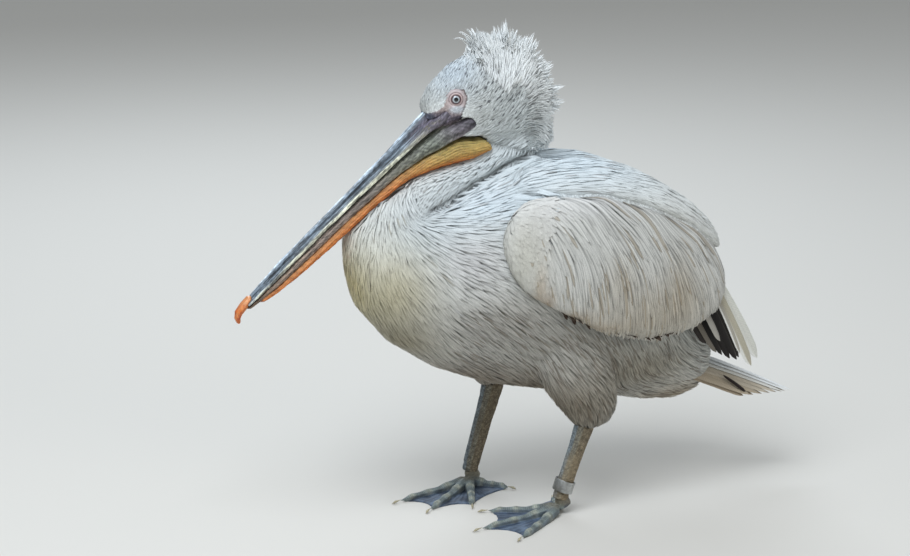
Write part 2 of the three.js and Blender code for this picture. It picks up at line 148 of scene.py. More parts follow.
# %% Shader nodes
def add(material, kind, inputs=None, **settings):
    """Adds a node with its settings and its inputs: each a value or another node's output."""
    tree = material.node_tree
    node = tree.nodes.new(kind)
    for key, value in settings.items():
        setattr(node, key, value)
    for key, value in (inputs or {}).items():
        if isinstance(value, bpy.types.NodeSocket):
            tree.links.new(value, node.inputs[key])
        else:
            node.inputs[key].default_value = value
    return node


def maths(material, operation, *values):
    """The result of one sum."""
    return add(material, "ShaderNodeMath", dict(enumerate(values)), operation=operation).outputs[0]


def ranged(material, *values):
    """A value brought from one range to another: value, from low, from high, to low, to high."""
    return add(material, "ShaderNodeMapRange", dict(enumerate(values))).outputs[0]


def new_material(name, **shader):
    """A material whose shader already has the values that are the same all over the surface."""
    material = bpy.data.materials.new(name)
    material.use_nodes = True
    bsdf = material.node_tree.nodes["Principled BSDF"]
    for key, value in shader.items():
        bsdf.inputs[key.replace("_", " ")].default_value = value
    return material, bsdf


def finish_material(material, bsdf, colour, tone, relief, strength, high_m):
    """Gives the shader its colour times a tone, and a bump."""
    shown = add(material, "ShaderNodeVectorMath", {0: colour, "Scale": tone}, operation="SCALE")
    bump = add(material, "ShaderNodeBump", {"Height": relief, "Strength": strength, "Distance": high_m})
    material.node_tree.links.new(shown.outputs[0], bsdf.inputs["Base Color"])
    material.node_tree.links.new(bump.outputs[0], bsdf.inputs["Normal"])


# %% [markdown]
# ## Camera, floor and light
# The camera stands 4.9 m off, low on the bird's left and a little ahead of it, with a long
# 135 mm lens. The floor is a plain pale level sheet that reaches far out of sight. The light
# is soft: a large cool panel above the bird's left, a smaller one behind it, a weak warm fill
# in front, and an even sky.

# %% Camera
scene = bpy.context.scene
camera_data = bpy.data.cameras.new("portrait_lens")
camera_data.lens = 135
camera_data.sensor_width = 36
camera_data.clip_start, camera_data.clip_end = 0.05, 150
camera = place_object("camera", camera_data)
CAMERA_AZIMUTH, CAMERA_ELEVATION, CAMERA_AWAY = math.radians(-20), math.radians(14), 4948.1
CAMERA_AIM = (-94.25, 319.0)  # along the picture's right and up, from the bird's own zero
right = np.array((math.cos(CAMERA_AZIMUTH), math.sin(CAMERA_AZIMUTH), 0))
back = np.array((
    math.sin(CAMERA_AZIMUTH) * math.cos(CAMERA_ELEVATION),
    -math.cos(CAMERA_AZIMUTH) * math.cos(CAMERA_ELEVATION),
    math.sin(CAMERA_ELEVATION),
))
up = np.cross(back, right)
camera_at = frame_m(CAMERA_AIM[0] * right + CAMERA_AIM[1] * up + CAMERA_AWAY * back)
camera.matrix_world = Matrix(
    [[right[i], up[i], back[i], camera_at[i]] for i in range(3)] + [[0, 0, 0, 1]]
)
scene.camera = camera

# %% Floor
FLOOR_HALF_M = 40
floor_mesh = bmesh.new()
bmesh.ops.create_grid(floor_mesh, x_segments=2, y_segments=2, size=FLOOR_HALF_M)
floor_data = bpy.data.meshes.new("studio_floor")
floor_mesh.to_mesh(floor_data)
floor_mesh.free()
floor = place_object("studio_floor", floor_data)
paper, _ = new_material("matte_floor_paper", Base_Color=linear("#d9d6cf"), Roughness=0.9)
floor_data.materials.append(paper)

# %% Soft light
SKY_STRENGTH = 0.44
scene.world = bpy.data.worlds.new("studio_air")
scene.world.use_nodes = True
sky = scene.world.node_tree.nodes["Background"].inputs
sky["Color"].default_value, sky["Strength"].default_value = linear("#dfe5ea"), SKY_STRENGTH


def soft_panel(name, place_m, aim_m, size_m, watts, code):
    """A large square light that looks from one point to another."""
    data = bpy.data.lights.new(name, "AREA")
    data.size, data.energy, data.color = size_m, watts, linear(code)[:3]
    place_object(name, data).matrix_world = looking(place_m, Vector(aim_m) - Vector(place_m), "-Z", "Y")


soft_panel("key_above_left", (-1.2, -1.4, 3.2), (0, 0, 0.35), 2.3, 108, "#eff5fc")
soft_panel("rim_behind", (0.4, 2.4, 2.3), (0, 0, 0.4), 1.6, 40, "#e6f0fb")
soft_panel("fill_front", (2.0, -4.0, 2.7), (0, 0, 0.3), 2.0, 20, "#fdf3e6")

# %% [markdown]
# ## One skin for the flesh
# Under its feathers a bird has one unbroken skin. Copies of the solids of head, neck, trunk,
# wings and thighs are joined and turned into one closed shell with a voxel remesh, which
# melts the thin parting cuts between them. The coat is laid on that shell, and the skin
# itself is the same shell drawn in by the depth of the coat: deep on the breast, thin on the
# head, and nothing at all where the face is bare.

# %% Copies of the solids
def merged_copy(names, swell_m):
    """One bmesh from several solids, their loose triangles merged, grown a little outward."""
    bm = bmesh.new()
    for name in names:
        one = bmesh.new()
        one.from_mesh(nodes[name].data)
        bmesh.ops.remove_doubles(one, verts=one.verts, dist=1e-6)
        one.normal_update()
        for v in one.verts:
            v.co += v.normal * swell_m
        scratch = bpy.data.meshes.new("scratch")
        one.to_mesh(scratch)
        one.free()
        bm.from_mesh(scratch)
        bpy.data.meshes.remove(scratch)
    return bm


def finish_object(name, bm, *materials, smooth=True):
    """A mesh object at the origin from a bmesh."""
    data = bpy.data.meshes.new(name)
    bm.to_mesh(data)
    bm.free()
    for material in materials:
        data.materials.append(material)
    if smooth:
        data.shade_smooth()
    return place_object(name, data)


def keep_modifiers(obj):
    """Turns what the modifiers show into the object's own mesh."""
    shown = obj.evaluated_get(bpy.context.evaluated_depsgraph_get())
    mesh = bpy.data.meshes.new_from_object(shown)
    obj.modifiers.clear()
    old, obj.data = obj.data, mesh
    mesh.name = obj.name
    bpy.data.meshes.remove(old)


def shell(name, names, voxel_mm, rounds, swell_mm=0.4):
    """A closed shell round several solids, with even quads of one size."""
    obj = finish_object(name, merged_copy(names, swell_mm / 1000))
    remesh = obj.modifiers.new("even_quads", "REMESH")
    remesh.mode = "VOXEL"
    remesh.voxel_size = voxel_mm / 1000
    ease = obj.modifiers.new("ease", "SMOOTH")
    ease.factor, ease.iterations = 0.5, rounds
    keep_modifiers(obj)
    return obj


def vertex_places(obj):
    """A mesh's points and normals as arrays, in the bird's own millimetres."""
    points, normals = read_rows(obj.data.vertices, "co", 3), read_rows(obj.data.vertex_normals, "vector", 3)
    return own_mm(points), normals.astype(float)


def move_vertices(obj, points):
    obj.data.vertices.foreach_set("co", frame_m(points).astype(np.float32).ravel())
    obj.data.update()


def line_gap(p, line):
    """How far places seen from the side are from a line of x, z corners, and how far along it."""
    line = np.array(line, float)
    steps = np.linalg.norm(np.diff(line, axis=0), axis=1)
    gap, along, gone = np.full(len(p), 1e9), np.zeros(len(p)), 0.0
    for (a, b), size in zip(zip(line, line[1:]), steps):
        t = unity((p[:, (0, 2)] - a) @ (b - a) / size**2)
        far = lengths(p[:, (0, 2)] - a - t[:, None] * (b - a))
        along = np.where(far < gap, (gone + t * size) / steps.sum(), along)
        gap, gone = np.minimum(gap, far), gone + size
    return gap, along


#  x, z corners of the fold where the neck lies back on the shoulder
CREASE = [(-163, 445), (-152, 450), (-141, 454), (-122, 462), (-104, 471), (-81, 482), (-59, 491), (-40, 501),
          (-22, 508), (-4, 512)]


def press_crease(obj, deep_mm):
    """Presses the fold of the neck into a shell."""
    points, normals = vertex_places(obj)
    gap, along = line_gap(points, CREASE)
    where = unity((np.abs(points[:, 1]) - 14) / 12) * np.clip(along / 0.12, 0.2, 1)
    points -= normals * (deep_mm * bell(gap, 3.6) * where)[:, None]
    move_vertices(obj, points)


FLESH = ["head", "neck_upper", "neck_lower", "trunk", "thigh_left", "thigh_right"]
WING_FLESH = [f"wing_{s}_{part}" for s in SIDES for part in ("coverts", "scapulars")]
body_shell = shell("body_shell", FLESH, 3.6, 4)
press_crease(body_shell, 6)
wing_shells = {s: shell(f"wing_shell_{s}", [f"wing_{s}_coverts"], 4, 3) for s in SIDES}
mantle_shell = shell("mantle_shell", FLESH + [f"wing_{s}_scapulars" for s in SIDES], 4.0, 60, 2.2)
press_crease(mantle_shell, 5)
grounds = [body_shell, mantle_shell, *wing_shells.values()]

# %% [markdown]
# ## Where a feather can stand
# Each shell is searched for its nearest point and its eased normal there, so that a feather
# can be walked along it. Roots are scattered by area and then thinned so that no two are
# closer than the spacing, as feather follicles are.

# %% Ground for feathers
TRIES = 4.5  # tries for each place that roots could take
CLOSEST = 0.86  # how near two roots may be, as a share of the spacing


class Ground:
    """A shell that feathers stand on, in the bird's own millimetres."""

    def __init__(self, obj):
        self.points, self.normals = vertex_places(obj)
        obj.data.calc_loop_triangles()
        self.corners = read_rows(obj.data.loop_triangles, "vertices", 3, np.int32)
        self.tree = BVHTree.FromPolygons(self.points.tolist(), self.corners.tolist())

    def settle(self, points):
        """The nearest places on the shell, the eased normals there, and the triangles hit."""
        places, hit = np.empty((len(points), 3)), np.empty(len(points), np.int64)
        find = self.tree.find_nearest
        for i, point in enumerate(points.tolist()):
            place, _, index, _ = find(point)
            places[i], hit[i] = place, index
        return places, unit(self.normals[self.corners[hit]].mean(axis=1)), hit

    def scatter(self, spacing, wanted, seed):
        """Roots about `spacing` apart wherever wanted(places) is true."""
        rng = np.random.default_rng(seed)
        a, b, c = (self.points[self.corners[:, i]] for i in range(3))
        area = lengths(np.cross(b - a, c - a)) / 2 * wanted((a + b + c) / 3)
        count = int(area.sum() / spacing**2 * TRIES)
        pick = rng.choice(len(area), count, p=area / area.sum())
        u, v = rng.random((2, count, 1))
        u, v = np.where(u + v > 1, 1 - u, u), np.where(u + v > 1, 1 - v, v)
        tries = a[pick] + u * (b[pick] - a[pick]) + v * (c[pick] - a[pick])
        cells, kept, apart = {}, [], (spacing * CLOSEST) ** 2
        keys = np.floor(tries / spacing).astype(int).tolist()
        near = [(i, j, k) for i in (-1, 0, 1) for j in (-1, 0, 1) for k in (-1, 0, 1)]
        for (i, j, k), (x, y, z) in zip(keys, tries.tolist()):
            crowded = any(
                (x - p) ** 2 + (y - q) ** 2 + (z - r) ** 2 < apart
                for di, dj, dk in near
                for p, q, r in cells.get((i + di, j + dj, k + dk), ())
            )
            if not crowded:
                cells.setdefault((i, j, k), []).append((x, y, z))
                kept.append((x, y, z))
        return np.array(kept)


body_ground = Ground(body_shell)
wing_ground = {s: Ground(o) for s, o in wing_shells.items()}
mantle_ground = Ground(mantle_shell)

# %% [markdown]
# ## The lie of the coat
# Feathers lie away from the bill, back over the head, down the neck, and in a fan from the
# throat: straight down on the front of the breast, slanting on the belly, level on the
# shoulder and down again on the thighs. The lie is given as a list of places with a heading
# each, for the left side, and blended between them. The right side is its mirror.

# %% Headings over the body
#        place x, y, z          heading x, y, z
HEAD_LIE = [  # fanning up and back from the corner of the mouth
    (-146, -8, 597, 0.47, 0, 0.88), (-128, -10, 624, 0.62, 0, 0.78), (-99, -12, 650, 0.6, 0, 0.8),
    (-75, -15, 665, 0.4, 0, 0.92), (-55, -15, 668, 0.4, 0, 0.92), (-30, -15, 664, 0.55, 0, 0.84),
    (-92, -32, 627, 0.4, 0, 0.92), (-130, -24, 600, 0.5, -0.1, 0.85), (-84, -34, 619, 0.45, 0, 0.9),
    (-64, -36, 640, 0.3, 0, 0.95), (-42, -36, 640, 0.45, 0, 0.9), (-84, -36, 600, 0.95, 0, 0.3),
    (-60, -38, 612, 0.7, 0, 0.71), (-38, -38, 600, 0.52, 0, 0.85), (-9, -34, 605, 0.52, 0, 0.85),
    (-9, -30, 635, 0.55, 0, 0.84), (-51, -38, 582, 0.62, 0, 0.78), (-27, -36, 571, 0.54, 0, 0.84),
    (-9, -34, 564, 0.62, 0, 0.78), (20, -20, 590, 0.8, 0, 0.6), (15, -28, 560, 0.85, 0, 0.52),
    (-69, -40, 561, 0.74, 0, 0.67), (-46, -38, 552, 0.76, 0, 0.65), (-24, -36, 538, 0.8, 0, 0.6),
    (25, -15, 545, 0.95, 0, 0.1), (35, 0, 590, 0.9, 0, 0.4), (-39, -36, 525, 0.86, 0, 0.45),
    (-96, -34, 556, 0.9, 0, 0.3), (5, 0, 650, 0.7, 0, 0.7),
]
NECK_LIE = [  # folded down under the bill
    (18, -25, 548, 0, 0, -1), (-16, -36, 524, -0.26, 0, -0.97),
    (-47, -38, 512, -0.77, 0, -0.64), (-93, -42, 495, -0.87, 0, -0.5),
    (-139, -46, 478, -0.71, 0, -0.71), (-174, -40, 480, -0.57, 0, -0.82),
    (-200, -50, 462, -0.26, 0, -0.97), (-220, -45, 448, -0.09, 0, -1),
    (-237, -30, 432, 0, 0, -1), (-110, -10, 490, -0.8, 0, -0.6),
]
TRUNK_LIE = [
    # breast, from the throat down and back
    (-170, -36, 492, -0.1, 0, -0.99), (-190, -34, 478, -0.05, 0, -1), (-215, -30, 450, 0, 0, -1),
    (-240, -22, 420, 0, 0, -1), (-165, -46, 470, 0.25, 0, -0.97),
    (-200, -50, 450, 0.1, 0, -0.99), (-185, -70, 446, 0.6, 0, -0.8), (-150, -60, 452, 0.95, 0, -0.3),
    (-100, -50, 475, 1, 0, 0.16), (-50, -45, 500, 0.97, 0, 0.22), (0, -40, 520, 1, 0, 0.08),
    (-20, -60, 486, 1, 0, 0.08), (-48, -78, 472, 1, 0, 0.1), (-10, -80, 470, 1, 0, 0.02),
    (-267, -10, 365, 0.1, 0, -0.99), (-261, -20, 324, 0.26, 0, -0.97),
    (-234, -40, 283, 0.47, 0, -0.88), (-254, -60, 419, 0.07, 0, -1),
    (-225, -80, 392, 0.26, 0, -0.97), (-199, -90, 435, 0.34, 0, -0.94),
    (-178, -92, 452, 0.71, 0, -0.71), (-159, -100, 406, 0.74, 0, -0.67),
    (-211, -70, 316, 0.53, 0, -0.85), (-173, -98, 349, 0.62, 0, -0.79),
    # shoulder and flank
    (-116, -105, 410, 0.94, 0, -0.34), (-115, -100, 452, 0.99, 0, -0.14),
    (-69, -95, 482, 1, 0, 0), (-43, -105, 447, 1, 0, -0.05),
    (-74, -110, 372, 0.88, 0, -0.47), (-46, -115, 328, 0.77, 0, -0.64),
    (-101, -105, 290, 0.8, 0, -0.6), (-5, -112, 272, 0.73, 0, -0.68),
    (58, -108, 240, 0.6, 0, -0.8), (123, -110, 254, 0.5, 0, -0.87),
    (82, -100, 218, 0.62, 0, -0.79), (193, -85, 217, 0.47, 0, -0.88),
    (239, -60, 183, 0.82, 0, -0.57),
    # belly and vent
    (-168, -60, 262, 0.68, 0, -0.73), (-167, -40, 226, 0.8, 0, -0.6),
    (-85, -60, 206, 0.88, 0, -0.47), (0, 0, 168, 1, 0, -0.1),
    (-90, 0, 190, 1, 0, -0.2), (100, 0, 156, 1, 0, 0),
    (181, -50, 158, 0.94, 0, -0.34), (273, -20, 138, 0.99, 0, 0.14),
    (200, 0, 135, 1, 0, 0.08),
    # thighs
    (29, -80, 196, 0.7, 0, -0.7), (75, -86, 170, 0.45, 0, -0.88),
    (118, -88, 181, 0.31, 0, -0.95), (82, -89, 134, 0.05, 0, -1),
    (-12, -83, 158, 0.1, 0, -1),
    # back
    (20, -30, 506, 1, 0, -0.02), (100, -30, 490, 0.99, 0, -0.1),
    (180, -25, 455, 0.92, 0, -0.4), (240, -20, 400, 0.78, 0, -0.62),
    (280, -15, 300, 0.6, 0, -0.8), (280, -30, 200, 0.95, 0, -0.3),
]
HEAD_LIE, NECK_LIE, TRUNK_LIE = (np.array(lie) for lie in (HEAD_LIE, NECK_LIE, TRUNK_LIE))
WING_LIE = np.array([
    (-70, -112, 430, 0.62, 0, -0.78), (-66, -116, 392, 0.5, 0, -0.86),
    (-52, -114, 462, 0.9, 0, -0.42), (-10, -106, 466, 0.78, 0, -0.62),
    (-20, -116, 400, 0.3, 0, -0.95), (-30, -119, 352, 0.2, 0, -0.98),
    (40, -108, 462, 0.72, 0, -0.69), (60, -114, 420, 0.46, 0, -0.89),
    (40, -120, 340, 0.14, 0, -0.99), (100, -118, 300, 0.05, 0, -1),
    (120, -104, 446, 0.7, 0, -0.71), (150, -104, 400, 0.45, 0, -0.89),
    (170, -112, 320, 0.12, 0, -0.99), (160, -114, 262, 0.02, 0, -1),
    (220, -80, 410, 0.72, 0, -0.69), (240, -84, 360, 0.42, 0, -0.91),
    (250, -92, 290, 0.12, 0, -0.99), (285, -66, 330, 0.3, 0, -0.95),
])
MANTLE_LIE = np.concatenate([TRUNK_LIE, np.array([
    (-40, -60, 500, 1, 0, 0.02), (0, -90, 480, 1, 0, -0.05),
    (50, -40, 505, 1, 0, -0.03), (90, -95, 465, 0.97, 0, -0.24),
    (150, -50, 480, 0.95, 0, -0.3), (180, -80, 440, 0.86, 0, -0.5),
    (220, -40, 440, 0.84, 0, -0.54), (270, -50, 395, 0.7, 0, -0.71),
])])


LIE_BLEND_MM = 14.0  # how softly one heading passes into the next


def lie_at(points, normals, lie):
    """Headings along the surface at many places, blended from a list for the left side."""
    left = one_side(points, -1)
    apart = ((left[:, None, :] - lie[None, :, :3]) ** 2).sum(axis=2) + LIE_BLEND_MM**2
    heading = (apart**-2.0) @ lie[:, 3:]
    heading[:, 1] *= np.where(points[:, 1] > 0, -1, 1)
    heading -= normals * (heading * normals).sum(axis=1, keepdims=True)
    return unit(heading, 1e-9)


# %% [markdown]
# ## The skin, and a flat map of it
# The skin is drawn in from the shell by the depth of the coat. It is then unwrapped by its
# own shape into one flat map, named OFBake. Every feather later takes a tiny patch of such a
# map at the place of its root, so that when colours are written to a picture each feather
# keeps its own.

# %% Depth of the coat
FACE = np.array((-112.0, 0.0, 572.0))  # middle of the bare face, on the bird's midplane
BODY_DEPTH, HEAD_DEPTH, FACE_DEPTH = 5.5, 2.2, 0.35


def coat_depth(points):
    """How far the skin lies under the tips of the coat, in mm."""
    head = between(505, 565)(points[:, 2]) * unity((points[:, 0] + 160) / -20 + 9.5)
    depth = BODY_DEPTH - (BODY_DEPTH - HEAD_DEPTH) * head
    away = lengths((points - FACE) * (1.0, 0.35, 1.0))
    return FACE_DEPTH + (depth - FACE_DEPTH) * between(26, 42)(away)


EYE_AT = np.array((-107.5, 21.8, 600.0))  # the right eye's middle
#  x, z corners of the bare face, and of the sides of jaw and pouch, seen from the side
FACE_EDGE = [(-121, 610), (-106, 614), (-95.5, 613), (-91.5, 602), (-94.5, 592), (-99, 583), (-101, 576),
             (-98, 570), (-120, 560), (-145, 550), (-163, 560), (-154, 579), (-143, 582), (-133, 586), (-126, 591),
             (-123, 600)]
JAW_EDGE = [(-100, 574), (-86, 573), (-80, 566), (-85, 556), (-112, 542), (-150, 526), (-190, 500), (-200, 530),
            (-160, 560), (-131, 565)]
POUCH_EDGE = [(-150, 534), (-114, 545), (-102, 548), (-88, 546), (-70, 546), (-60, 539), (-66, 528), (-88, 518),
              (-112, 511), (-144, 502), (-160, 491), (-205, 468), (-195, 502)]


def inside(p, ring):
    """Whether places seen from the side are inside a ring of x, z corners."""
    x, z, odd = p[:, 0], p[:, 2], np.zeros(len(p), bool)
    for (x1, z1), (x2, z2) in zip(ring, ring[1:] + ring[:1]):
        crosses = (z1 > z) != (z2 > z)
        odd ^= crosses & (x < (x2 - x1) * (z - z1) / ((z2 - z1) or 1e-9) + x1)
    return odd


def is_bare_face(p):
    """The ring round the eye, the lores and the strip along the bill, where no feather grows."""
    return inside(p, FACE_EDGE) & (np.abs(p[:, 1]) > 6)


def is_under_bill(p):
    """Where jaw and pouch lie over the side of the head."""
    return (inside(p, JAW_EDGE) | inside(p, POUCH_EDGE)) & (np.abs(p[:, 1]) > 12)


skin = shell("skin", FLESH + WING_FLESH, 4.5, 5, 0.8)
skin_data = skin.data
press_crease(skin, 7)
points, normals = vertex_places(skin)
move_vertices(skin, points - normals * coat_depth(points)[:, None])
bm = bmesh.new()
bm.from_mesh(skin_data)
near_face = {v for v, p in zip(bm.verts, own_mm([v.co for v in bm.verts]))
             if -175 < p[0] < -45 and 500 < p[2] < 625}
bmesh.ops.subdivide_edges(bm, edges=[e for e in bm.edges if set(e.verts) <= near_face], cuts=2,
                          use_grid_fill=True, smooth=0.6)
bm.to_mesh(skin_data)
bm.free()
points, normals = vertex_places(skin)
# under jaw and pouch the skin is drawn in, so that it never shows through them
points[:, 1] -= np.sign(points[:, 1]) * 7 * is_under_bill(points) * between(14, 22)(np.abs(points[:, 1]))
# creases in the bare face: folds over and under the eye, and a crinkle on the lores
bare = is_bare_face(points)
away = lengths((points - EYE_AT) * (1, 0, 1))
folds = bell(away - 12.2, 0.9) * (points[:, 2] > 603) + 0.7 * bell(away - 11.2, 0.8) * (points[:, 2] < 597)
crinkle = np.sin(points[:, 0] * 1.1 + 2 * np.sin(points[:, 2] * 0.9)) * (points[:, 2] < 579)
points -= normals * (bare * (0.7 * folds + 0.4 * crinkle))[:, None]
move_vertices(skin, points)
skin_data.shade_smooth()

bpy.context.view_layer.objects.active = skin
skin.select_set(True)
bpy.ops.object.mode_set(mode="EDIT")
bpy.ops.mesh.select_all(action="SELECT")
skin_data.uv_layers.new(name="OFBake")
bpy.ops.uv.smart_project(angle_limit=math.radians(66), island_margin=0.003)
bpy.ops.object.mode_set(mode="OBJECT")
skin.select_set(False)
skin_ground = Ground(skin)
#  each triangle's corners on the flat map
skin_flat = read_rows(skin_data.uv_layers["OFBake"].data, "uv", 2)[
    read_rows(skin_data.loop_triangles, "loops", 3, np.int32)]


def flat_place(points):
    """Where places on the body are on the skin's flat map."""
    places, _, hit = skin_ground.settle(points)
    a, b, c = (skin_ground.points[skin_ground.corners[hit][:, i]] for i in range(3))
    edges = ((c - b, places - b), (a - c, places - c), (b - a, places - a))
    shares = np.stack([lengths(np.cross(edge, way)) for edge, way in edges], axis=1)
    shares /= np.maximum(lengths(np.cross(b - a, c - a)), 1e-12)[:, None]
    shares /= shares.sum(axis=1, keepdims=True)
    return (skin_flat[hit] * shares[:, :, None]).sum(axis=1)


# %% [markdown]
# ## Markings and painted light
# The plumage is white, cream on the front of the breast, with rusty stains where the wing's
# coverts rub. Painted sky light makes it bluish where it turns up, and painted shade makes it
# greyer and browner below. Marks and painted light are soft clouds of colour round a few places
# on the bird, the same for the skin and for every feather, each with its own small difference
# in tone.

# %% Colour of the plumage
#   place x, |y|, z     reach x, y, z      colour    strength
PLUMAGE_MARKS_AND_PAINTED_LIGHT = [
    ((-165, 60, 415), (60, 60, 50), "#c2cacc", 0.70),  # greyer below the throat
    ((-262, 0, 335), (62, 80, 62), "#cdc28b", 0.95),  # cream front of the breast
    ((-205, 60, 340), (50, 60, 58), "#b9ae85", 0.75),
    # painted shade: darker and browner low on the breast
    ((-195, 40, 265), (60, 70, 45), "#918665", 0.80),
    # painted shade: the belly, the thighs, the underside of the tail and the flank under the wing are darker and
    # browner
    ((-100, 30, 195), (90, 110, 55), "#93887a", 0.90),  # browner belly
    ((20, 20, 170), (110, 120, 60), "#887a66", 0.95),
    ((60, 90, 158), (64, 60, 58), "#756a57", 0.90),  # thighs
    ((230, 20, 140), (70, 60, 26), "#ab9a80", 0.85),  # under the tail
    ((-60, 110, 290), (120, 60, 60), "#a39e95", 0.80),  # greyer flank
    ((60, 110, 250), (90, 50, 50), "#a09c92", 0.80),
    ((180, 90, 195), (110, 60, 48), "#8f8672", 0.85),
    ((-105, 105, 385), (50, 60, 40), "#c3c1c2", 0.55),
    # painted sky light: the shoulder and the back are cooler and paler where they turn up
    ((-90, 100, 470), (90, 60, 40), "#cfe0ec", 0.80),  # cool shoulder
    ((60, 30, 500), (150, 90, 60), "#d9e7ef", 0.80),
    ((-60, 36, 515), (60, 40, 30), "#ccd5d8", 0.70),  # neck
    ((-20, 36, 585), (50, 40, 60), "#d3dadb", 0.80),
    # painted sky light on the top of the head
    ((-110, 20, 640), (50, 40, 40), "#d8e6f1", 0.80),
]
PLAIN_PLUMAGE = "#e2e4e0"


def marked(points, plain, marks, hard=1):
    """A plain colour with marks laid over it in turn, alike on both sides of the bird."""
    tone = np.tile(rgb(plain), (len(points), 1))
    for place, reach, code, strength in marks:
        tone = blend(tone, code, strength * cloud(one_side(points), place, reach, hard))
    return tone


def plumage_at(points):
    """The plumage's linear colour at places on the bird, with its marks and painted light, and painted shade in the
    fold of the neck.
    """
    gap, along = line_gap(points, CREASE)
    # painted shade in the fold where the neck lies back on the shoulder
    deep = np.interp(along, [0, 0.06, 0.3, 0.6, 0.8, 1], [0.2, 0.7, 0.45, 0.4, 0.8, 0.7])
    fold = deep * bell(gap, 2.4) * (np.abs(points[:, 1]) > 14)
    return marked(points, PLAIN_PLUMAGE, PLUMAGE_MARKS_AND_PAINTED_LIGHT) * (1 - fold)[:, None]


# %% [markdown]
# ## One feather, many times
# A contour feather is a thin vane, arched across, that starts in the skin, follows the body
# and ends on top of the feathers behind it. Each is walked along its shell in a few steps.
# Thousands of them are set down as one joined mesh from arrays, because an operator for each
# would take minutes. Each piece of coat has the map OFBake, a second map
# "vane" that runs across and along every feather, and a colour for every point.

# %% Laying vanes
ACROSS = 3  # points across a vane
#  outlines: how far along, and how wide there
POINTED = [(0, 0.45), (0.25, 0.9), (0.5, 1.0), (0.75, 0.72), (0.92, 0.34), (1, 0.04)]
ROUNDED = [(0, 0.5), (0.2, 0.85), (0.5, 1.0), (0.8, 0.96), (0.93, 0.72), (1, 0.18)]
WISPY = [(0, 0.7), (0.2, 1.0), (0.5, 0.8), (0.75, 0.5), (0.92, 0.25), (1, 0.03)]


def lay_vanes(ground, roots, lie, seed, length, width, steps, outline, depth, arch, roll, wander, tip_rise=0.0,
              curl=0.0, shade=0.06, dark=(0.0, "#6d675f"), tipped=None, tint=plumage_at, leave=-1.0, fade=0.7,
              rim=0.13, vary=(0.84, 1.13)):
    """Points, roots and colours of one vane at each root.

    length, width, fade and rim are each a number or a function of the roots; depth and
    tip_rise are in mm under and over the shell; wander and roll are in degrees; curl lifts
    the tip further. A vane leaves the shell where the shell has turned under and away from it
    by more than the cosine `leave`. fade darkens its root and rim its edges, as painted shade for the gaps between
    feathers.
    """
    rng = np.random.default_rng(seed)
    n = len(roots)
    length, width, fade, rim = (np.reshape(v(roots) if callable(v) else v, (-1, 1)) for v in (length, width, fade, rim))
    longs = length[:, 0] * rng.uniform(*vary, n)
    wides = width[:, 0] * rng.uniform(0.85, 1.15, n)
    turn = np.radians(rng.normal(0, wander, n))[:, None]
    lean = np.radians(rng.normal(0, roll, n))[:, None]
    lift = rng.uniform(-0.6, 0.8, n)
    at, spread = 1 - (1 - np.linspace(0, 1, steps + 1)) ** 1.35, np.linspace(-1, 1, ACROSS)  # closer rows at the tip
    half = np.interp(at, *zip(*outline)) / 2
    place, normal, _ = ground.settle(roots)
    heading = lie_at(place, normal, lie)
    first_normal, free = normal.copy(), np.zeros(n, bool)
    points = np.empty((n, steps + 1, ACROSS, 3))
    for k, t in enumerate(at):
        sideways = np.cross(normal, heading)
        angle = turn * (1 - 0.5 * t)
        course = heading * np.cos(angle) + sideways * np.sin(angle)
        sideways = np.cross(normal, course)
        raised = -depth * (1 - t) ** 1.3 + (tip_rise + lift) * t + curl * t**3
        middle = place + normal * raised[:, None]
        tilt = np.cos(lean) * sideways + np.sin(lean) * normal
        reach = (half[k] * wides)[:, None]
        for j, s in enumerate(spread):
            points[:, k, j] = middle + tilt * reach * s - normal * reach * arch * s * s
        if k < steps:
            ahead = place + course * (longs * (at[k + 1] - t))[:, None]
            settled, new_normal, _ = ground.settle(ahead)
            free |= ((new_normal * first_normal).sum(axis=1) < leave) & (new_normal[:, 2] < 0)
            new_heading = lie_at(settled, new_normal, lie)
            place = np.where(free[:, None], ahead, settled)
            normal = np.where(free[:, None], normal, new_normal)
            heading = np.where(free[:, None], heading, new_heading)
    tone = tint(points[:, :, ACROSS // 2].reshape(-1, 3)).reshape(n, steps + 1, 3)
    tone *= 1 + rng.normal(0, shade, (n, 1, 1))
    darker = rng.random(n) < dark[0]
    tone[darker] = tone[darker] * 0.4 + rgb(dark[1]) * 0.6
    # painted shade: the chosen vanes get dark tips that stand for shadowed gaps
    if tipped:
        ends = unity((at - 0.3) / 0.3)[None, :, None]
        speck = rng.random(n) < tipped(roots)
        tone[speck] += (rgb("#3f4148") - tone[speck]) * ends * 0.8
    # painted shade: each vane darker towards its root, where it lies under the feathers before it
    tone *= (fade + (1 - fade) * unity(at / 0.45))[..., None]
    colour = np.ones((n, steps + 1, ACROSS, 4))
    # painted shade along each vane's edges, for the gaps between feathers
    colour[..., :3] = tone[:, :, None, :] * (1 - rim * spread**4)[:, None, :, None]
    return {"points": points, "colour": unity(colour), "roots": roots}


FLAT_PATCH = 0.003  # a feather's patch on the flat map, as a share of the map


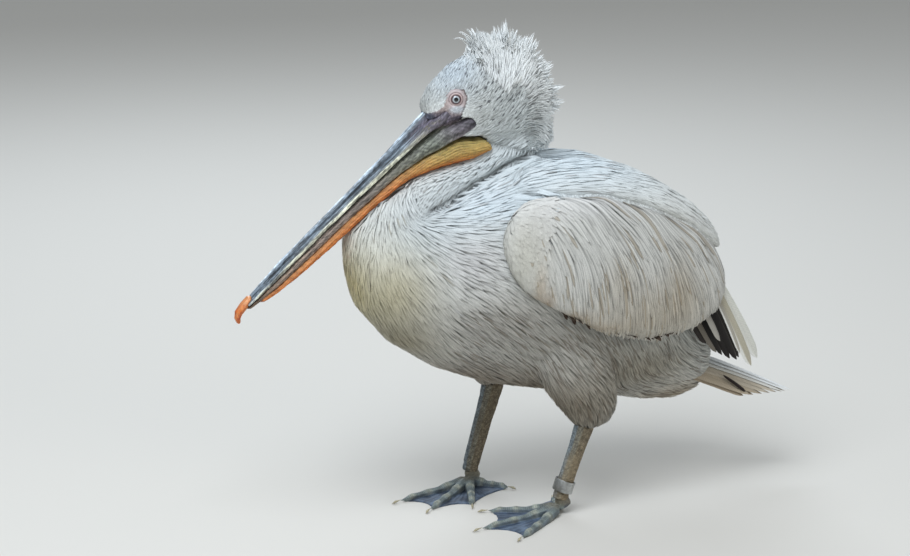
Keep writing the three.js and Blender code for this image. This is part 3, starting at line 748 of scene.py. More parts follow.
def coat_object(name, batches, material):
    """One mesh from several batches of vanes, each with the same number of points across."""
    lists = spots, faces, flats, vanes, colours = [], [], [], [], []
    first = 0
    for batch in batches:
        pts = batch["points"]
        n, rows, across = pts.shape[:3]
        index = first + np.arange(n * rows * across).reshape(n, rows, across)
        quad = np.stack([index[:, :-1, :-1], index[:, :-1, 1:], index[:, 1:, 1:], index[:, 1:, :-1]], axis=-1)
        faces.append(quad.reshape(-1, 4))
        grid = np.stack(np.meshgrid(np.linspace(0, 1, across), np.linspace(0, 1, rows)), axis=-1)
        root = flat_place(batch["roots"])[:, None, None, :]
        flats.append((root + (grid - 0.5) * FLAT_PATCH).reshape(-1, 2))
        vanes.append(np.tile(grid.reshape(-1, 2), (n, 1)))
        spots.append(pts.reshape(-1, 3))
        colours.append(batch["colour"].reshape(-1, 4))
        first += n * rows * across
    spots, faces, flats, vanes, colours = (np.concatenate(parts) for parts in lists)
    mesh = bpy.data.meshes.new(name)
    mesh.vertices.add(len(spots))
    mesh.vertices.foreach_set("co", frame_m(spots).astype(np.float32).ravel())
    mesh.loops.add(faces.size)
    mesh.loops.foreach_set("vertex_index", faces.astype(np.int32).ravel())
    mesh.polygons.add(len(faces))
    mesh.polygons.foreach_set("loop_start", np.arange(0, faces.size, 4, dtype=np.int32))
    mesh.update(calc_edges=True)
    for title, source in (("OFBake", flats), ("vane", vanes)):
        layer = mesh.uv_layers.new(name=title)
        layer.data.foreach_set("uv", source[faces.ravel()].astype(np.float32).ravel())
    tint = mesh.color_attributes.new("plumage_tint", "FLOAT_COLOR", "POINT")
    tint.data.foreach_set("color", colours.astype(np.float32).ravel())
    mesh.materials.append(material)
    mesh.shade_smooth()
    obj = place_object(name, mesh)
    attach(obj, "root")
    print(name, len(faces) * 2, "triangles")
    return obj


# %% [markdown]
# ## Feather
# Feather is keratin: dry, matt and a little glossy along the barbs. The barbs run slantwise
# from the shaft, about 2 to a millimetre; they are drawn at about 3 mm, so that they can
# still be seen. The colour comes with each feather; the shader adds the shaft, the barbs and
# a soft sheen.

# %% Feather keratin
def feather_material(name, barbs, shaft, sheen):
    """barbs is how many are drawn along a vane, shaft how dark its middle line is."""
    material, bsdf = new_material(
        name, Roughness=0.72, IOR=1.54, Specular_IOR_Level=0.25, Sheen_Weight=sheen, Sheen_Roughness=0.45
    )
    tint = add(material, "ShaderNodeAttribute", attribute_name="plumage_tint").outputs["Color"]
    vane = add(material, "ShaderNodeUVMap", uv_map="vane").outputs[0]
    vane = add(material, "ShaderNodeSeparateXYZ", {0: vane}).outputs
    from_shaft = maths(material, "ABSOLUTE", maths(material, "SUBTRACT", vane["X"], 0.5))
    slide = maths(material, "MULTIPLY_ADD", from_shaft, -5.0, maths(material, "MULTIPLY", vane["Y"], barbs))
    ripple = maths(material, "SINE", maths(material, "MULTIPLY", slide, 6.2832))
    where = add(material, "ShaderNodeTexCoord").outputs["Object"]
    mottle = add(material, "ShaderNodeTexNoise", {"Vector": where, "Scale": 900.0, "Detail": 3.0}).outputs[0]
    near_shaft = ranged(material, from_shaft, 0.0, 0.09, shaft, 1.0)
    uneven = ranged(material, mottle, 0.3, 0.7, 0.88, 1.08)
    lines = ranged(material, ripple, -1.0, 1.0, 0.95, 1.03)
    grey = maths(material, "MULTIPLY", maths(material, "MULTIPLY", near_shaft, uneven), lines)
    finish_material(material, bsdf, tint, grey, ripple, 0.25, 0.0003)
    return material


body_feather = feather_material("white_body_feather", 14.0, 0.97, 0.15)
wing_feather = feather_material("white_covert_feather", 34.0, 0.93, 0.10)

# %% [markdown]
# ## The body coat
# Body feathers are narrow, close and streaky. They are about 1 cm long on the head, under
# 2 cm on the neck, and 2 to 5 cm on the breast and belly. The coat is laid in tracts, as on a
# real bird, and each tract is one piece.

# %% Tracts of the body
def is_head(p):
    return (p[:, 2] > 535 - 0.25 * (p[:, 0] + 60)) & (p[:, 2] > 520)


def is_neck(p):
    over_crease = p[:, 2] > np.interp(p[:, 0], *zip(*CREASE, (20, 522), (60, 530)))
    return over_crease & ~is_head(p) & (p[:, 0] < 48) & (p[:, 0] > -166 + (p[:, 2] - 449) * 0.12)


def is_trunk(p):
    return ~is_head(p) & ~is_neck(p)


def showing(roots, *covers, margin):
    """Drops roots that lie deep inside other shells, where no feather could show."""
    keep = np.ones(len(roots), bool)
    for cover in covers:
        place, normal, _ = cover.settle(roots)
        under = ((roots - place) * normal).sum(axis=1)
        keep &= ~((under < -margin) & (lengths(roots - place) < 60))
    return roots[keep]


def shadow_specks(roots):
    """Dark feather tips gather on the crown and behind the cheek: painted shade for the shadowed gaps between the
    feathers there.
    """
    crown, cheek = cloud(roots, (-70, 0, 640), (26, 60, 20)), cloud(roots, (-28, 0, 590), (38, 80, 36))
    return 0.015 + 0.30 * crown + 0.20 * cheek


#  name, where, lie, spacing, length, width, steps, and how the feathers sit
TRACTS = [
    ("coat_head", lambda p: is_head(p) & ~is_bare_face(p) & ~is_under_bill(p), HEAD_LIE, 2.4,
     lambda r: 7 + 7 * between(-130, -20)(r[:, 0]), lambda r: 2.0 + 0.5 * between(-130, -20)(r[:, 0]), 4,
     dict(depth=1.5, wander=10, arch=0.25, roll=9, curl=0.5, shade=0.08, tipped=shadow_specks, fade=0.78, rim=0.26)),
    ("coat_neck", lambda p: is_neck(p) & ~is_under_bill(p), NECK_LIE, 3.2,
     17.0, 2.9, 4,
     dict(depth=2.6, wander=7, arch=0.25, roll=7, shade=0.04, dark=(0.03, "#9d9c98"), fade=0.84)),
    ("coat_breast", lambda p: is_trunk(p) & (p[:, 0] < -150) & ~is_under_bill(p), TRUNK_LIE, 3.9,
     lambda r: 22 + 22 * between(485, 400)(r[:, 2]), lambda r: 2.9 + 0.9 * between(485, 400)(r[:, 2]), 6,
     dict(depth=3.6, wander=5, arch=0.28, roll=5, shade=0.045, dark=(0.03, "#9a9484"), fade=0.86, rim=0.12)),
    ("coat_belly", lambda p: is_trunk(p) & (p[:, 0] >= -150) & (p[:, 0] < 30) & (p[:, 2] < 330), TRUNK_LIE, 4.3,
     lambda r: 47 - 14 * between(220, 130)(r[:, 2]), 4.0, 6,
     dict(depth=4.4, tip_rise=0.2, wander=5, arch=0.4, roll=11, curl=0.6, shade=0.08, dark=(0.14, "#7b6f61"),
          fade=0.66, rim=0.25)),
    ("coat_vent", lambda p: is_trunk(p) & (p[:, 0] >= 30) & (p[:, 2] < 330), TRUNK_LIE, 4.6,
     lambda r: 46 - 14 * between(220, 130)(r[:, 2]), 4.8, 6,
     dict(depth=4.4, tip_rise=0.4, wander=6, arch=0.4, roll=12, curl=1.0, shade=0.10, dark=(0.16, "#6f6354"),
          fade=0.62, rim=0.32)),
    ("coat_mantle", lambda p: is_trunk(p) & (p[:, 0] >= -150) & (p[:, 0] < 276) & (p[:, 2] >= 330), MANTLE_LIE, 5.0,
     lambda r: np.minimum(40 + 30 * between(-60, 60)(r[:, 0]), np.maximum(10, (284 - r[:, 0]) * 1.2)),
     lambda r: 4.4 + 2.6 * between(-20, 160)(r[:, 0]), 8,
     dict(depth=4.0, wander=4, arch=0.24, roll=4.5, shade=0.045, dark=(0.03, "#a9a9a8"), fade=0.82, leave=0.3,
          rim=0.13)),
]
for seed, (name, wanted, lie, spacing, long, wide, steps, seat) in enumerate(TRACTS, 11):
    ground = mantle_ground if name == "coat_mantle" else body_ground
    roots = ground.scatter(spacing, wanted, seed)
    if name not in ("coat_head", "coat_neck", "coat_breast"):
        roots = showing(roots, *wing_ground.values(), margin=11.0 if name == "coat_mantle" else 6.0)
    laid = lay_vanes(ground, roots, lie, seed + 20, long, wide, steps, POINTED, **seat)
    coat_object(name, [laid], body_feather)

# %% [markdown]
# ## Wings and shoulders
# The folded wing shows three sorts of feather. Small smooth marginal coverts wrap its front
# edge, over a down that closes the gaps between them. Long narrow coverts hang from its top
# and end in a ragged row of round tips with dark secondaries in the gaps. The scapulars lie
# over it from the back, with the mantle. Past the lower edge a covert has nothing to lie on,
# so from there it hangs straight on.

# %% Wing coverts
PLAIN_WING = "#d8d8d3"
WING_MARKS = [
    ((-22, 117, 346), (9, 40, 34), "#a8875a", 0.55),  # rust where the coverts rub
    ((-8, 119, 318), (10, 40, 24), "#94703f", 0.55),
    ((20, 119, 296), (40, 40, 10), "#b08f5f", 0.55),
    ((60, 119, 278), (60, 40, 9), "#ad8d5f", 0.50),
    ((-45, 115, 390), (30, 40, 60), "#c6c4b6", 0.75),
    ((100, 110, 345), (24, 40, 30), "#c9bda6", 0.45),
    ((150, 114, 290), (110, 40, 50), "#b5ab98", 0.80),
    ((200, 90, 320), (24, 40, 44), "#a8977b", 0.60),
    ((60, 105, 455), (120, 30, 22), "#e8e8e6", 0.80),
]
WING_HEM = ([-60, -20, 20, 60, 100, 160, 220, 260, 300], [340, 312, 286, 268, 254, 240, 257, 285, 310])


def wing_at(points):
    """The colour of the wing's coverts: creamier to the lower edge, with rusty stains."""
    return marked(points, PLAIN_WING, WING_MARKS)


def front_edge(p):
    return np.interp(p[:, 2], [300, 340, 400, 450, 475], [-25, -30, -36, -24, -10])


def behind_edge(p):
    """0 at the wing's smooth front to 1 where the long coverts stand apart."""
    return between(0, 60)(p[:, 0] - front_edge(p))


def over_hem(p):
    """How far places are above the wing's lower edge, in mm."""
    return p[:, 2] - np.interp(p[:, 0], *WING_HEM)


for side, sign in SIDES.items():
    ground = wing_ground[side]

    def lay_coverts(spacing, wanted, outer, seed, *shape, **seat):
        """One sort of covert, on the wing's outer face, further out than `outer` mm."""
        roots = ground.scatter(spacing, lambda p: wanted(p) & (p[:, 1] * sign > outer), seed)
        return lay_vanes(ground, roots, WING_LIE, seed + 1, *shape, ROUNDED, **seat)

    small = lay_coverts(3.3, lambda p: p[:, 0] < front_edge(p) + 16, 46, 61, 15.0, 4.6, 4, depth=0.8, tip_rise=-0.2,
                        wander=6, arch=0.08, roll=1.5, shade=0.025, tint=wing_at, fade=0.95, rim=0.05)
    # down under the small coverts, lying every way, so that no gap goes deep
    under = lay_coverts(3.8, lambda p: p[:, 0] < front_edge(p) + 6, 60, 67, 8.0, 6.0, 3, depth=1.6, tip_rise=-1.9,
                        wander=70, arch=0.05, roll=1.5, tint=wing_at, fade=0.95, rim=0.05)
    long_roots = ground.scatter(5.8, lambda p: (p[:, 0] > front_edge(p) - 6) & (p[:, 1] * sign > 50), 63)
    _, long_normal, _ = ground.settle(long_roots)
    long_roots = long_roots[(long_normal[:, 1] * sign > -0.1) & (over_hem(long_roots) > 14)]
    rng = np.random.default_rng(60)

    def covert_length(r):
        """As long as there is wing under it, but short at the front edge, and uneven at the hem."""
        room = over_hem(r) * rng.uniform(0.97, 1.02, len(r))
        return np.clip(np.minimum(room, 14 + 1.3 * (r[:, 0] - front_edge(r) + 6)), 14, 92)

    long = lay_vanes(
        ground, long_roots, WING_LIE, 64, covert_length, lambda r: 5.2 + 2.2 * between(430, 320)(r[:, 2]), 9, ROUNDED,
        depth=2.4, tip_rise=0.1, wander=2.5, arch=0.5, roll=9, shade=0.075, tint=wing_at, dark=(0.10, "#a4967e"),
        leave=0.35, fade=lambda r: 0.97 - 0.36 * behind_edge(r), rim=lambda r: 0.04 + 0.50 * behind_edge(r),
        vary=(0.96, 1.03),
    )
    hem = lay_coverts(
        5.0, lambda p: (p[:, 0] > 4) & (p[:, 0] < 215) & (np.abs(over_hem(p) - 22) < 6), 50, 65, 24.5, 6.5, 4,
        depth=4.5, tip_rise=-2.6, wander=4, arch=0.2, roll=3, leave=0.35, tint=lambda p: marked(p, "#43352a", []))
    coat_object(f"coat_wing_{side}", [small, under, hem, long], wing_feather)

# %% [markdown]
# ## Flight feathers and tail
# The big stiff feathers are few, so each is placed on its own: a shaft from root to tip with
# a broad vane that bows across and tapers to a round end. Primaries are blackish with grey
# edges, the innermost tertials long and whitish, and the tail is white in the middle and
# browner on its outer and lower feathers, its middle feathers the longest.

# %% Big stiff feathers
STIFF_STEPS, STIFF_ACROSS = 20, 9
#  how far along, and how wide there
STIFF_OUTLINE = ([0, 0.1, 0.35, 0.75, 0.9, 0.96, 1], [0.3, 0.7, 0.95, 1.0, 0.86, 0.6, 0.1])


def stiff_feather(root, tip, face, wide, bow, colours, edge_pale=0.0, sharp=0.0):
    """One long feather: face is the way its upper side looks, bow how far its middle lifts."""
    root, tip, face = (np.array(v, float) for v in (root, tip, face))
    run = tip - root
    heading = run / np.linalg.norm(run)
    face -= heading * (face @ heading)
    face /= np.linalg.norm(face)
    sideways = np.cross(face, heading)
    at, spread = np.linspace(0, 1, STIFF_STEPS + 1), np.linspace(-1, 1, STIFF_ACROSS)
    half = np.interp(at, *STIFF_OUTLINE) * wide
    half *= 1 - sharp * unity((at - 0.45) / 0.55)
    points, colour = (np.ones((1, STIFF_STEPS + 1, STIFF_ACROSS, size)) for size in (3, 4))
    middle_colour, edge_colour = (rgb(c) for c in colours)
    for k, t in enumerate(at):
        centre = root + run * t + face * bow * math.sin(math.pi * t)
        for j, s in enumerate(spread):
            points[0, k, j] = centre + sideways * half[k] * s - face * half[k] * 0.22 * s * s
            share = unity((s * np.sign(edge_pale) - 0.25) / 0.25) * abs(edge_pale)
            colour[0, k, j, :3] = middle_colour + (edge_colour - middle_colour) * share
    return {"points": points, "colour": colour, "roots": root[None, :]}


#  root, tip, half width, tone: the primaries and secondaries that show, then three tertials,
#  with y as on the left side
QUILLS = [
    ((194, -89, 316), (252, -86, 231), 8.0, "#2a2420"), ((194, -90, 333), (270, -82, 215), 7.0, "#6f695f"),
    ((204, -88, 339), (281, -78, 209), 7.0, "#1a1512"), ((216, -91, 334), (273, -88, 233), 6.0, "#a9a59c"),
    ((217, -85, 354), (296, -72, 201), 9.0, "#17120f"), ((222, -81, 359), (309, -68, 197), 9.0, "#17120f"),
    ((238, -74, 363), (314, -64, 199), 9.0, "#1f1a16"), ((257, -67, 326), (315, -66, 205), 4.0, "#b3aea2"),
    ((252, -64, 345), (336, -60, 183), 8.5, "#bdb7a4"), ((258, -60, 347), (349, -52, 192), 10.5, "#dfdfd6"),
]
for side, sign in SIDES.items():
    quills = []
    for i, (root, tip, wide, tone) in enumerate(QUILLS):
        root, tip = (np.array(v, float) * (1, -sign, 1) for v in (root, tip))
        if i < len(QUILLS) - 3:
            face, bow, edge, pale = (0.84, sign * 1.5, 0.3), 2.5, "#6f695f", -sign * 0.25
        else:
            face, bow, edge, pale = (0.25, sign * 1.3, 0.35), 5.0, "#efefea", sign * 0.9
        quills.append(stiff_feather(root, tip, face, wide, bow, (tone, edge), edge_pale=pale))
    coat_object(f"flight_feathers_{side}", quills, wing_feather)

rectrices = []
for layer, under in enumerate((0, 3)):
    for share in np.linspace(-1, 1, 14):
        outer = abs(share)
        root = (222, 22 * share, 219 - 30 * outer - under)
        tip = (430 - 88 * outer**1.4 - 3 * under, 42 * share, 122 + 13 * outer - under * 0.5)
        tone = ("#f1f3f2", "#e6e5de", "#c9beab", "#b9ab95")[min(3, int(outer * 4.2))] if not layer else "#a4957f"
        rectrices.append(stiff_feather(root, tip, (0.4, share * 0.8, 1), 11.0, 3.0, (tone, "#d6d0c2"),
                                       edge_pale=0.5, sharp=0.5))
for sign in SIDES.values():  # one dark, worn feather tip on each side
    rectrices.append(stiff_feather((302, sign * 38, 166), (337, sign * 41, 139), (0.4, sign * 0.9, 0.8), 3.4, 1.0,
                                   ("#241712", "#3d2a20")))
tail_coat = coat_object("tail_feathers", rectrices, wing_feather)

# %% [markdown]
# ## The crest
# On the crown and nape the feathers are long, loose and curly, and stand out round the back
# of the head like a ruff. Short ones make a dense fluff, and over it longer ones lean
# together into pointed locks. Each is a vane bent from its root over a knee to its tip. How
# far the down and the locks reach is set by angle round the head, and a few curl forward.

# %% Crest locks
CREST_MIDDLE = np.array((-26.0, 0.0, 590.0))
#  round the middle of the crest by angle: how far the dense down reaches, in mm
DOWN_REACH = ([-60, -49, -41, -28, -13, -5, 3, 20, 30, 41, 56, 64, 73, 84, 94, 103, 108, 113, 117, 122, 128],
              [94, 94, 84, 76, 72, 70, 70, 72, 70, 71, 79, 85, 90, 89, 88, 95, 101, 106, 105, 100, 95])
#  and where the locks that stand out of it end: angle, reach
LOCKS = [(-50, 94), (-42, 92), (-31, 84), (-22, 81), (-12, 88), (-5, 89), (2, 80), (9, 88), (20, 79), (28, 80),
         (35, 87), (42, 82), (49, 83), (57, 93), (65, 101), (72, 93), (79, 97), (84, 102), (89, 115), (95, 105),
         (101, 101), (107, 102), (112, 104), (116, 105), (120, 101), (125, 96)]
LOCK_ROWS = ((0, 1.0), (9, 0.96), (-9, 0.96), (18, 0.90), (-18, 0.90), (26, 0.80), (-26, 0.80))  # y, share of the reach
LOCK_VANES = 7
#  the locks that curl forward over the brow: tip, knee
BROW_ROOT, BROW_VANES = np.array((-68, 0, 661)), 6
BROW_LOCKS = (((-102, 0, 680), (-91, 1, 688)), ((-93, 5, 688), (-84, 4, 692)), ((-92, -6, 687), (-83, -4, 691)),
              ((-84, 2, 693), (-76, 1, 694)), ((-80, -8, 691), (-74, -6, 690)), ((-74, 8, 692), (-70, 6, 690)),
              ((-70, -2, 695), (-66, -2, 690)))


def angle_round(p):
    return np.degrees(np.arctan2(p[:, 2] - CREST_MIDDLE[2], p[:, 0] - CREST_MIDDLE[0]))


def crest_share(p):
    """0 where the coat lies flat to 1 on the rim where the crest stands out."""
    angle = angle_round(p)
    along = unity((angle + 72) / 18) * unity((134 - angle) / 10)
    return along * unity((38 + 12 * between(-12, 12)(p[:, 0]) - np.abs(p[:, 1])) / 20)


def bent_vanes(roots, knees, tips, wides, tone, steps=6, about=CREST_MIDDLE):
    """Vanes bent from root over knee to tip, their faces turned away from `about`."""
    at = np.linspace(0, 1, steps + 1)
    half = np.interp(at, *zip(*WISPY)) / 2
    points, colour = (np.ones((len(roots), steps + 1, ACROSS, size)) for size in (3, 4))
    for k, t in enumerate(at):
        middle = roots * (1 - t) ** 2 + knees * 2 * t * (1 - t) + tips * t * t
        course = (knees - roots) * (1 - t) + (tips - knees) * t
        sideways = unit(np.cross(course, roots - about + (0.1, 3.0, 0.2)), 1e-6)
        cup = unit(np.cross(sideways, course), 1e-6)
        reach = (half[k] * wides)[:, None]
        for j, s in enumerate((-1, 0, 1)):
            points[:, k, j] = middle + sideways * reach * s - cup * reach * 0.4 * s * s
    # painted shade: each vane a little darker at its root
    colour[..., :3] = tone[:, None, None, :] * (0.9 + 0.1 * unity(at / 0.5))[None, :, None, None]
    return {"points": points, "colour": unity(colour), "roots": roots}


rng = np.random.default_rng(81)
roots = body_ground.scatter(2.2, lambda p: is_head(p) & (crest_share(p) > 0.05), 81)
place, normal, _ = body_ground.settle(roots)
share, lean = crest_share(place)[:, None], lie_at(place, normal, HEAD_LIE)
outward = (place - CREST_MIDDLE) * (1, 0.45, 1)
room = np.interp(angle_round(place), *DOWN_REACH) * (1 - (place[:, 1] / 75) ** 2) - lengths(outward * (1, 0, 1))
outward = unit(outward)
grow = (np.clip(room, 7, 40) * rng.uniform(0.7, 1.2, len(place)))[:, None] * (0.45 + 0.55 * share)
knees = place + (normal * 0.25 + lean * 0.3 + outward * 0.15) * grow + rng.normal(0, 0.5, place.shape)
tips = place + (outward * (0.3 + 0.6 * share) + lean * (0.7 - 0.45 * share)) * grow
tips += rng.normal(0, 1.3, place.shape)
white = rgb("#f6f9f9")
tone = (plumage_at(place) * 0.2 + white * 0.8) * (1 + rng.normal(0, 0.03, (len(place), 1)))
# painted shade: some fluff vanes are darkened for the shadowed gaps on the crown and behind the cheek
tone[rng.random(len(place)) < 0.6 * shadow_specks(place)] *= 0.3
fluff = bent_vanes(place - normal, knees, tips, rng.uniform(1.9, 2.8, len(place)), tone)

lock_tips = []
for y, part in LOCK_ROWS:
    for angle, far in LOCKS:
        a, far = math.radians(angle + rng.normal(0, 1 + abs(y) / 9)), far * part * rng.uniform(1.0, 1.06)
        lock_tips.append(CREST_MIDDLE + (far * math.cos(a), y + rng.normal(0, 2), far * math.sin(a)))
starts, bends, ends = [], [], []
for tip in lock_tips:
    near = np.argsort(lengths(place - tip) + rng.uniform(0, 8, len(place)))[:LOCK_VANES]
    hook = rng.normal(0, 2.5)
    for i in near:
        end = tip + rng.normal(0, 0.7, 3) - (tip - place[i]) * rng.uniform(0, 0.22)
        starts.append(place[i] - normal[i])
        bends.append((place[i] + end) / 2 + normal[i] * 1.5 + lean[i] * hook)
        ends.append(end)
for tip, knee in BROW_LOCKS:
    for _ in range(BROW_VANES):
        starts.append(BROW_ROOT + rng.normal(0, (4, 4, 1)))
        bends.append(knee + rng.normal(0, 0.8, 3))
        ends.append(tip + rng.normal(0, 0.7, 3))
starts, bends, ends = (np.array(v) for v in (starts, bends, ends))
tone = white * (1 + rng.normal(0, 0.03, (len(starts), 1)))
locks = bent_vanes(starts, bends, ends, rng.uniform(1.9, 2.7, len(starts)), tone, steps=8)
coat_crest = coat_object("crest_locks", [fluff, locks], body_feather)

# %% [markdown]
# ## Where the scapulars begin and end
# Behind the shoulder the first scapulars reach across the gap between body and wing and lie
# on the wing's top, so that no gap shows from the front. At their rear the last short ones
# wrap the blunt end of the tract.

# %% Shoulder tufts
SHOULDER_MIDDLE = np.array((-30.0, 0.0, 440.0))
TUFTS = 130  # on each side
rng = np.random.default_rng(91)
end_roots = mantle_ground.scatter(3.4, lambda p: (p[:, 0] > 256) & (p[:, 2] > 335), 91)
scapulars = [lay_vanes(mantle_ground, end_roots, MANTLE_LIE, 92, 19, 5.5, 5, POINTED, depth=2.5, tip_rise=0.3, wander=5,
                       arch=0.3, roll=6, shade=0.05, fade=0.82, rim=0.14)]
for side, sign in SIDES.items():
    x, z = (rng.uniform(*span, TUFTS) for span in ((-50, -24), (446, 484)))
    starts, normal, _ = mantle_ground.settle(np.stack([x, np.full(TUFTS, sign * 84.0), z], axis=1))
    x, z = (rng.uniform(*span, TUFTS) for span in ((34, 48), (-8, 0)))
    ends = starts + np.stack([x, np.full(TUFTS, sign * 18.0), z], axis=1)
    ends, top, _ = wing_ground[side].settle(ends)
    ends += top * 1.2
    bends = (starts + ends) / 2 + (normal + top) * 1.6
    tone = plumage_at(starts) * (1 + rng.normal(0, 0.04, (TUFTS, 1)))
    scapulars.append(bent_vanes(starts - normal * 2, bends, ends, rng.uniform(4.5, 6.5, TUFTS), tone, steps=7,
                                about=SHOULDER_MIDDLE))
coat_object("coat_scapulars", scapulars, body_feather)

# %% [markdown]
# ## Colours of the bare parts
# Skin and horn differ in tone from place to place by what they are: pink round the eye,
# purple-grey on the lores, cream along the bill's cutting edge, orange on the pouch. Those
# tones are worked out once for every point of a piece from where it is, and kept with it.
# The material takes them, breaks them up with the grain of the real surface, and turns the
# same grain into a fine relief. Some tones are painted light and shade: a highlight on the
# bill's ridge, shade in its grooves and along the mouth, in the pouch's wrinkles, in the
# eyelid's fold, in the web's folds and along the feathers' edge over the face.

# %% Helpers for bare parts
def give_colours(obj, name, colours):
    """A colour for every point of a mesh."""
    layer = obj.data.color_attributes.new(name, "FLOAT_COLOR", "POINT")
    rgba = np.ones((len(colours), 4), np.float32)
    rgba[:, :3] = unity(colours)
    layer.data.foreach_set("color", rgba.ravel())


def tones(share, codes, places=None):
    """Colours for many places from a few hex codes and a 0 to 1 share between them."""
    table = np.array([rgb(code) for code in codes])
    at = np.linspace(0, 1, len(codes)) if places is None else places
    return np.stack([np.interp(share, at, table[:, i]) for i in range(3)], axis=1)


def waves(points, seed):
    """A cheap smooth wander, about -1 to 1, from a few sine waves."""
    rng = np.random.default_rng(seed)
    return sum(np.sin(points @ rng.normal(0, 1, 3) + rng.uniform(0, 6.28)) for _ in range(9)) / 3


def mottled(points, share=1.0):
    """How the tone of face and lores wanders from place to place, as a factor for their colour."""
    return np.clip(1 + 0.34 * (waves(points * 0.8, 4) * share), 0.5, 1.5)[:, None]


def grained(name, tint, grains, relief_mm, cells=None, uv_map=None, **shader):
    """A material whose colour is the piece's own, broken up by grains and by a net of cells.

    Each grain is its scale per m, its detail, and how dark and how light it makes the colour.
    """
    material, bsdf = new_material(name, **shader)
    own = add(material, "ShaderNodeAttribute", attribute_name=tint).outputs["Color"]
    where = add(material, "ShaderNodeTexCoord").outputs["Object"]
    course = add(material, "ShaderNodeUVMap", uv_map=uv_map).outputs[0] if uv_map else where
    tone = 1.0
    for scale, detail, dark, light in grains:
        spot = add(material, "ShaderNodeMapping", {0: course, "Scale": scale}).outputs[0]
        grain = add(material, "ShaderNodeTexNoise", {0: spot, "Scale": 1.0, "Detail": detail}).outputs[0]
        tone = maths(material, "MULTIPLY", tone, ranged(material, grain, 0.33, 0.67, dark, light))
    if cells:
        net = add(material, "ShaderNodeTexVoronoi", {0: where, "Scale": cells}, feature="DISTANCE_TO_EDGE").outputs[0]
        tone = maths(material, "MULTIPLY", tone, ranged(material, net, 0.0, 0.12, 0.72, 1.0))
    finish_material(material, bsdf, own, tone, tone, 0.5, relief_mm / 1000)
    return material


def settle_piece(obj, material, slot, *replaced):
    """Gives a piece its material and its body, and hides the nodes it stands for. The slot is not used."""
    obj.data.materials.append(material)
    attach(obj, "root")
    if replaced:
        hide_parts(*replaced)
    print(obj.name, sum(len(p.vertices) - 2 for p in obj.data.polygons), "triangles")


# %% Colour of the skin
FACE_MARKS = [
    ((-107.5, 26, 601), (16, 30, 15), "#bfb2b3", 0.95),
    ((-128, 24, 594), (8, 30, 12), "#a99b97", 0.80),
    ((-107, 28, 585.5), (12, 30, 5.5), "#ccd3d9", 0.95),
    ((-131, 24, 571), (30, 30, 14), "#5f5966", 0.97),
    ((-104, 28, 573), (12, 30, 6.5), "#443f4a", 0.97),
    ((-150, 16, 576), (12, 30, 10), "#565b6b", 0.90),
]
skin_points, _ = vertex_places(skin)
near_face = ((skin_points[:, 0] < -70) & (skin_points[:, 2] > 540))[:, None]
# painted shade: the skin that shows between the feathers is darker than the plumage, and darker still low on the body
painted_shade_under_coat = np.where(near_face, 0.92, 0.70 + 0.16 * between(260, 360)(skin_points[:, 2])[:, None])
skin_tone = plumage_at(skin_points) * painted_shade_under_coat
face_tone = marked(skin_points, "#c0b0ac", FACE_MARKS, hard=2)
# painted shade: a dark line along the feathers' edge behind the bare face
edge_gap, _ = line_gap(skin_points, FACE_EDGE[1:8])
face_tone *= (1 - 0.8 * bell(edge_gap, 2.2))[:, None]
face_tone *= mottled(skin_points, between(590, 580)(skin_points[:, 2]))
skin_tone = np.where(is_bare_face(skin_points)[:, None], face_tone, skin_tone)
give_colours(skin, "plumage_tint", skin_tone)
skin_grains = [((280,) * 3, 4, 0.7, 1.25), ((1100,) * 3, 2, 0.9, 1.08)]
skin_material = grained("bare_skin_and_down", "plumage_tint", skin_grains, 0.5, cells=620.0,
                        Roughness=0.6, IOR=1.4, Specular_IOR_Level=0.3)
settle_piece(skin, skin_material, "plumage", *FLESH, *WING_FLESH)

# %% [markdown]
# ## Eyes
# The eye is small and pale: a black pupil under 6 mm across in a grey-white iris, a dark rim, and
# a swollen greyish-pink lid with two fine folds. The ball is a sphere turned so that its
# poles lie on the line of sight, and its rings of colour follow the angle from that line. The
# lid is a row of circles bridged outward from the ball to the skin, with the folds pressed in.

# %% Eyeball and lids
EYE_RADIUS = 8.2
EYE_LOOK = np.array((-0.22, 1.0, 0.03))
eye_material = grained("wet_cornea_over_iris", "eye_tint", [((1500,) * 3, 4, 0.86, 1.08)], 0.02, Roughness=0.06,
                       IOR=1.38, Coat_Weight=1.0, Coat_Roughness=0.03)
lid_material = grained("grey_pink_eyelid_skin", "eye_tint", [((1400,) * 3, 3, 0.84, 1.1)], 0.4, Roughness=0.5,
                       IOR=1.4)
#  colour of the eyeball by degrees from the line of sight
BALL_STOPS = [0, 20.5, 22.5, 25.5, 32, 36, 39, 43, 180]
BALL_CODES = ["#000000", "#020202", "#858e96", "#adb6bd", "#bdc6cd", "#a7a9ab", "#6a5a5c", "#4b3b3e", "#3a2f31"]
